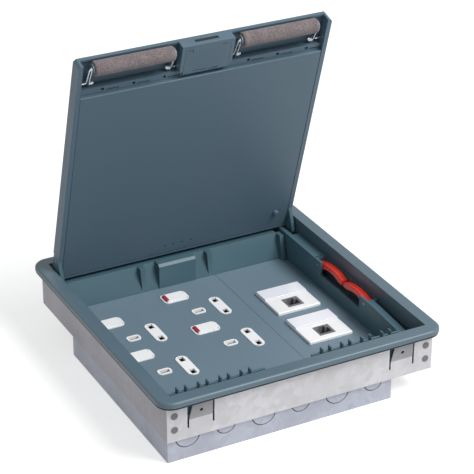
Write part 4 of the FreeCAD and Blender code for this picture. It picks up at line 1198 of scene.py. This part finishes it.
@dataclass
class BoxForms:
    """Forms of the box's own pieces that the scene makes fuller, in millimetres."""

    module_lift: float = 1.0
    module_top: float = 25.1
    jack_top: float = 24.5
    flap_width: float = 1.085
    flap_run: tuple[float, float] = (0.3, 1.2)
    flap_rise: tuple[float, float] = (0.95, 1.5)
    score_depth: float = 0.4
    old_score: float = 0.5
    tongue_middle: float = 98.3
    tongue_half: float = 11.0
    tongue_low: float = 41.0
    plate_face: float = 131.55
    tip_low: float = 55.0
    tip: tuple[float, float] = (-8.3, 10.0)
    gussets: tuple[float, float] = (-39.1, 31.1)
    old_gusset: float = 1.2
    gusset_middle: float = 30.0
    gusset_top: float = 2.9
    gusset_foot: float = 1.6
    old_block: float = 10.5
    block_right: float = 15.0
    fin_middle: float = 56.0
    fin_drop: float = 3.4
    old_end: float = -91.3
    channel_end: float = -114.0
    ramp_foot: float = 44.0
    ramp_lift: float = 3.4
    lever_width: float = 1.07
    lever_shift: float = 0.2
    flange_corner: float = 14.0
    bead: tuple[tuple[float, float], ...] = ((0.6, 59.05), (0.4, 58.1), (0.6, 57.2),
                                             (2.6, 57.2), (2.8, 58.1), (2.6, 59.05))

    @staticmethod
    def lifted(low: float, lift: float) -> Rule:
        """Return a rule that lifts the points above a height."""
        return lambda p: Vector((p.x, p.y, p.z + lift)) if p.z > low else None

    def data_modules(self) -> None:
        """Build the data modules thicker, with a proud label flap as wide as the frame."""
        for number in (1, 2):
            Refit(f"data_module_{number}").move(self.lifted(self.module_top, self.module_lift)).show()
            Refit(f"data_jack_{number}").move(self.lifted(self.jack_top, self.module_lift)).show()
            low, high = (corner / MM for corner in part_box(f"label_window_{number}"))
            middle = (low + high) / 2

            def flap(point: Vector) -> Vector:
                """Return a place on the wider, prouder flap."""
                return Vector((middle.x + (point.x - middle.x) * self.flap_width,
                               point.y + self.flap_run[0 if point.y < middle.y else 1],
                               point.z + self.flap_rise[0 if point.z < middle.z else 1]))
            Refit(f"label_window_{number}").move(flap).show()

    def knockouts(self) -> None:
        """Build the lower tier with deeper scored rings, their floors painted dark as shade."""
        low, high = (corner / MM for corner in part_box("lower_box"))

        def deeper(point: Vector) -> Vector | None:
            """Return a place further into the sheet for the floor of a ring.

            Args:
                point: a place in millimetres.

            Returns:
                Its new place, or None to leave it.
            """
            if abs(point.y - low.y - self.old_score) < CLOSE:
                return Vector((point.x, point.y + self.score_depth, point.z))
            if abs(point.y - high.y + self.old_score) < CLOSE:
                return Vector((point.x, point.y - self.score_depth, point.z))
            return None

        def floor_of_score(point: Vector) -> bool:
            """Return True on the floor of a ring."""
            depth = self.old_score + self.score_depth
            return abs(point.y - low.y - depth) < NEAR or abs(point.y - high.y + depth) < NEAR
        # The ring floors get the dark galvanised colour: painted shade.
        Refit("lower_box").move(deeper).paint("score_shade", floor_of_score).show()

    def taper(self, point: Vector) -> Vector | None:
        """Return a place on the tapered tip of a spring tongue.

        Args:
            point: a place in millimetres.

        Returns:
            Its new place, or None to leave it.
        """
        for middle in (-self.tongue_middle, self.tongue_middle):
            if point.z > self.tip_low and abs(abs(point.x - middle) - self.tongue_half) < CLOSE:
                return Vector((middle + self.tip[0 if point.x < middle else 1], point.y, point.z))
        return None

    def end_plates(self) -> None:
        """Build the end plates with the spring tongues tapered to their bent tips, which get a darker galvanised
        colour as painted shade.
        """
        for name, side in (("front_plate", -1), ("back_plate", 1)):
            def bent(point: Vector) -> bool:
                """Return True on a tongue's bent part."""
                on_tongue = abs(abs(point.x) - self.tongue_middle) < self.tongue_half + 0.2
                return point.z > self.tongue_low and on_tongue and point.y * side > self.plate_face
            # The bent tips get the darker galvanised copy: painted shade.
            Refit(name).move(self.taper).paint("zinc_bent_shaded", bent).show()

    def flange_shadow(self) -> None:
        """Build a thin dark bead under the flange's edge: a painted shadow, standing for the shadow the flange's
        overhang casts on the box wall.
        """
        low, high = (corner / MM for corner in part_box("trim_frame"))
        width, length = high.x - low.x, high.y - low.y
        rings = []
        for inset, z in self.bead:
            outline = rounded_rectangle(0, 0, width - 2 * inset, length - 2 * inset, self.flange_corner - inset, 8)
            rings.append([Vector((x, y, z)) * MM for x, y in outline])
        piece("flange_shadow_strip", hoop(rings), "flange_shadow", "box")

    def fuller(self, point: Vector) -> Vector | None:
        """Return a place on a fuller gusset or on the wider centre block of the back wall.

        Args:
            point: a place in millimetres.

        Returns:
            Its new place, or None to leave it.
        """
        for middle in self.gussets:
            if abs(abs(point.x - middle) - self.old_gusset) < CLOSE:
                half = self.gusset_top if point.z > self.gusset_middle else self.gusset_foot
                return Vector((middle + math.copysign(half, point.x - middle), point.y, point.z))
        return Vector((self.block_right, point.y, point.z)) if abs(point.x - self.old_block) < NEAR else None

    def longer(self, point: Vector) -> Vector | None:
        """Return a place on the side channel's ledge carried on to the front.

        Args:
            point: a place in millimetres.

        Returns:
            Its new place, or None to leave it.
        """
        if point.y < self.old_end:
            lift = self.ramp_lift if abs(point.z - self.ramp_foot) < 0.5 else 0.0
            return Vector((point.x, self.channel_end, point.z + lift))
        return None

    def levers(self) -> None:
        """Build the red levers a little wider."""
        for name in ("rear_lever", "front_lever"):
            low, high = (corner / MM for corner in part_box(name))
            middle = (low.x + high.x) / 2 + self.lever_shift
            Refit(name).move(
                lambda p: Vector((middle + (p.x - middle) * self.lever_width, p.y, p.z))).show(Edge.FINE)

    def build(self) -> None:
        """Build all of them."""
        self.data_modules()
        self.knockouts()
        self.end_plates()
        self.flange_shadow()
        Refit("front_comb").move(self.lifted(self.fin_middle, -self.fin_drop)).show()
        Refit("rear_moulding").move(self.fuller).show()
        Refit("side_channel").move(self.longer).show()
        self.levers()


@dataclass
class LidForms:
    """The lid moulding with its cable lips and slits, and the latch cover with its marks, in millimetres."""

    lid: LidFrame
    length: float = 250.9
    panel: float = 216.0
    inner: float = 25.5
    outer: float = 118.5
    wall: float = 4.3
    old_corner: float = 4.0
    corner: float = 2.4
    shift: float = 7.6
    holes: int = 3
    first_hole: float = 12.0
    hole_pitch: float = 29.4
    hole_reach: float = 3.0
    hole_depth: float = 5.8
    clear: float = 0.03

    def spot(self, x: float, reach: float, depth: float) -> Vector:
        """Return a place of the lid's own frame, given in millimetres."""
        return self.lid.at(x * MM, reach * MM, depth * MM)

    def hole(self, index: int) -> float:
        """Return how far a hole is from the lid's middle."""
        return self.inner + self.first_hole + index * self.hole_pitch

    def trim(self, point: Vector) -> Vector | None:
        """Return a point's new place: smaller front corners, and the right-hand holes set further out.

        Args:
            point: a place in millimetres.

        Returns:
            Its new place, or None to leave it.
        """
        x, reach, depth = (value / MM for value in self.lid.local(point * MM))
        half = self.outer + self.wall
        if abs(reach - self.length) < NEAR and abs(abs(x) - half + self.old_corner) < NEAR:
            return self.spot(math.copysign(half - self.corner, x), reach, depth) / MM
        if abs(reach - self.length + self.old_corner) < NEAR and abs(abs(x) - half) < NEAR:
            return self.spot(x, self.length - self.corner, depth) / MM
        in_hole = 1.6
        if x > 0 and abs(reach - self.panel - self.hole_reach) < in_hole and depth > self.hole_depth:
            if any(abs(x - self.hole(index)) < in_hole for index in range(self.holes)):
                return self.spot(x + self.shift, reach, depth) / MM
        return None

    def tray(self) -> None:
        """Build the lid moulding: the lips stand just clear of its faces, so that they join on cleanly."""
        lips, slits = Shape(), Shape()
        for side in (-1, 1):
            lips.join(block(self.spot, (side * 38.5, self.length - 7.5, self.clear),
                            (side * 108.5, self.length - self.clear, 1.5)))
            lips.join(block(self.spot, (side * (self.inner - 1), self.length - 1.93, 0.83),
                            (side * (self.outer + 1), self.length - 0.05, 3.6)))
            for index in range(self.holes):
                x = side * self.hole(index) + (self.shift if side > 0 else 0.0)
                slits.join(block(self.spot, (x + 3.2, self.panel + 1.3, 6.0), (x + 15.5, self.panel + 2.5, 9.4)))
        Refit("lid_tray").move(self.trim).carve(lips, Cut.ON).carve(slits).show()

    def latch_cover(self) -> None:
        """Build the latch cover with its moulded marks."""
        marks = Shape()
        top = self.length - 2.2
        foot = self.panel + 5.2
        for x0, x1, r0, r1 in ((-19.5, -14.5, top - 3.4, top - 2.6), (-15.3, -14.5, top - 5.4, top - 2.6),
                               (12.5, 19.5, top - 2.4, top - 1.8), (-5.2, 0.6, foot + 0.6, foot + 1.7),
                               (2.4, 10.8, foot - 0.4, foot + 0.8)):
            marks.join(block(self.spot, (x0, r0, 11.7), (x1, r1, 13.0)))
        Refit("latch_cover").carve(marks).show()

    def build(self) -> None:
        """Build both."""
        self.tray()
        self.latch_cover()


# ---------------------------------------------------------------------------------------------
# Stage
# ---------------------------------------------------------------------------------------------

@dataclass
class Stage:
    """Pale floor, soft studio light and the camera."""

    azimuth: float = -27.93
    elevation: float = 27.86
    distance: float = 1.6818
    aim: Vector = field(default_factory=lambda: Vector((-0.00029, -0.0105, 0.12662)))
    roll: float = 0.21
    lens: float = 144.9
    key_share: float = 0.98
    key_azimuth: float = 38.0
    key_elevation: float = 50.0
    key_distance: float = 2.4
    key_size: float = 1.3
    ambient: float = 0.4
    sky: tuple[float, ...] = (0.96, 0.98, 1.0, 1)
    paper: tuple[float, ...] = (0.6, 0.6, 0.6, 1)
    floor_glow: float = 0.62
    floor_half: float = 4.0
    floor_drop: float = 0.0002

    @staticmethod
    def towards(azimuth: float, elevation: float) -> Vector:
        """Return the unit vector from the object to a place on the sky, in degrees, azimuth 0 in front."""
        a, e = math.radians(azimuth), math.radians(elevation)
        return Vector((math.sin(a) * math.cos(e), -math.cos(a) * math.cos(e), math.sin(e)))

    def camera(self) -> None:
        """Add the camera."""
        data = bpy.data.cameras.new("camera")
        data.lens = self.lens
        data.sensor_width = 36
        data.clip_start = 0.1
        item = bpy.data.objects.new("camera", data)
        bpy.context.scene.collection.objects.link(item)
        away = self.towards(self.azimuth, self.elevation)
        roll = Matrix.Rotation(math.radians(self.roll), 4, "Z")
        turn = away.to_track_quat("Z", "Y").to_matrix().to_4x4() @ roll
        item.matrix_world = Matrix.Translation(self.aim + away * self.distance) @ turn
        bpy.context.scene.camera = item

    def light(self, name: str, azimuth: float, elevation: float, share: float, size: float) -> None:
        """Add a soft area light.

        Args:
            name: its name.
            azimuth: where it stands.
            elevation: how high it stands.
            share: how much of a face's colour it gives when it shines straight on.
            size: its width.
        """
        data = bpy.data.lights.new(name, "AREA")
        data.shape = "DISK"
        data.size = size
        data.energy = share * math.pi ** 2 * self.key_distance ** 2
        item = bpy.data.objects.new(name, data)
        bpy.context.scene.collection.objects.link(item)
        away = self.towards(azimuth, elevation)
        turn = away.to_track_quat("Z", "Y").to_matrix().to_4x4()
        item.matrix_world = Matrix.Translation(self.aim + away * self.key_distance) @ turn

    def world(self) -> None:
        """Set an even pale sky that shows as white."""
        world = bpy.data.worlds.new("studio")
        bpy.context.scene.world = world
        world.use_nodes = True
        sky = Nodes(world.node_tree)
        soft = sky.add("ShaderNodeBackground", {}, {"Color": self.sky, "Strength": self.ambient})
        white = sky.add("ShaderNodeBackground", {}, {"Strength": 1.0})
        shown = sky.add("ShaderNodeMixShader", {}, {0: sky.shown_ray(), 1: soft, 2: white})
        sky.feed(sky.tree.nodes.new("ShaderNodeOutputWorld"), {"Surface": shown})

    def floor(self) -> None:
        """Add the floor, pale with the object's shadow on it."""
        half, drop = self.floor_half, -self.floor_drop
        corners = [(-half, -half, drop), (half, -half, drop), (half, half, drop), (-half, half, drop)]
        mesh = bpy.data.meshes.new("floor")
        mesh.from_pydata(corners, [], [(0, 1, 2, 3)])
        item = bpy.data.objects.new("floor", mesh)
        bpy.context.scene.collection.objects.link(item)
        graph = Graph("floor_paper")
        graph.tree.nodes.remove(graph.shader)
        paper = graph.add("ShaderNodeBsdfDiffuse", {}, {"Color": self.paper})
        glow = graph.add("ShaderNodeEmission", {}, {"Color": (1, 1, 1, 1), "Strength": self.floor_glow})
        lit = graph.add("ShaderNodeAddShader", {}, {0: paper, 1: glow})
        shown = graph.add("ShaderNodeMixShader", {}, {0: graph.shown_ray(), 1: paper, 2: lit})
        graph.feed(graph.output, {"Surface": shown})
        item.data.materials.append(graph.material)

    def build(self) -> None:
        """Build the stage."""
        self.camera()
        self.world()
        self.floor()
        self.light("key", self.key_azimuth, self.key_elevation, self.key_share, self.key_size)
        bpy.context.scene.view_settings.view_transform = "Standard"


def main() -> None:
    """Build everything."""
    logging.basicConfig(level=logging.INFO, format="%(message)s")
    Stage().build()
    lid = LidFrame()
    Windows().build()
    BoxForms().build()
    LidForms(lid).build()
    dress_nodes(Refit.made)
    for side in (-1, 1):
        CableOutlet(side, lid).build()
    for number in range(1, 5):
        RockerMark(number).build()
        PinWells(number).build()
    for number in (1, 2):
        JackContacts(number).build()


if __name__ == "__main__":
    main()
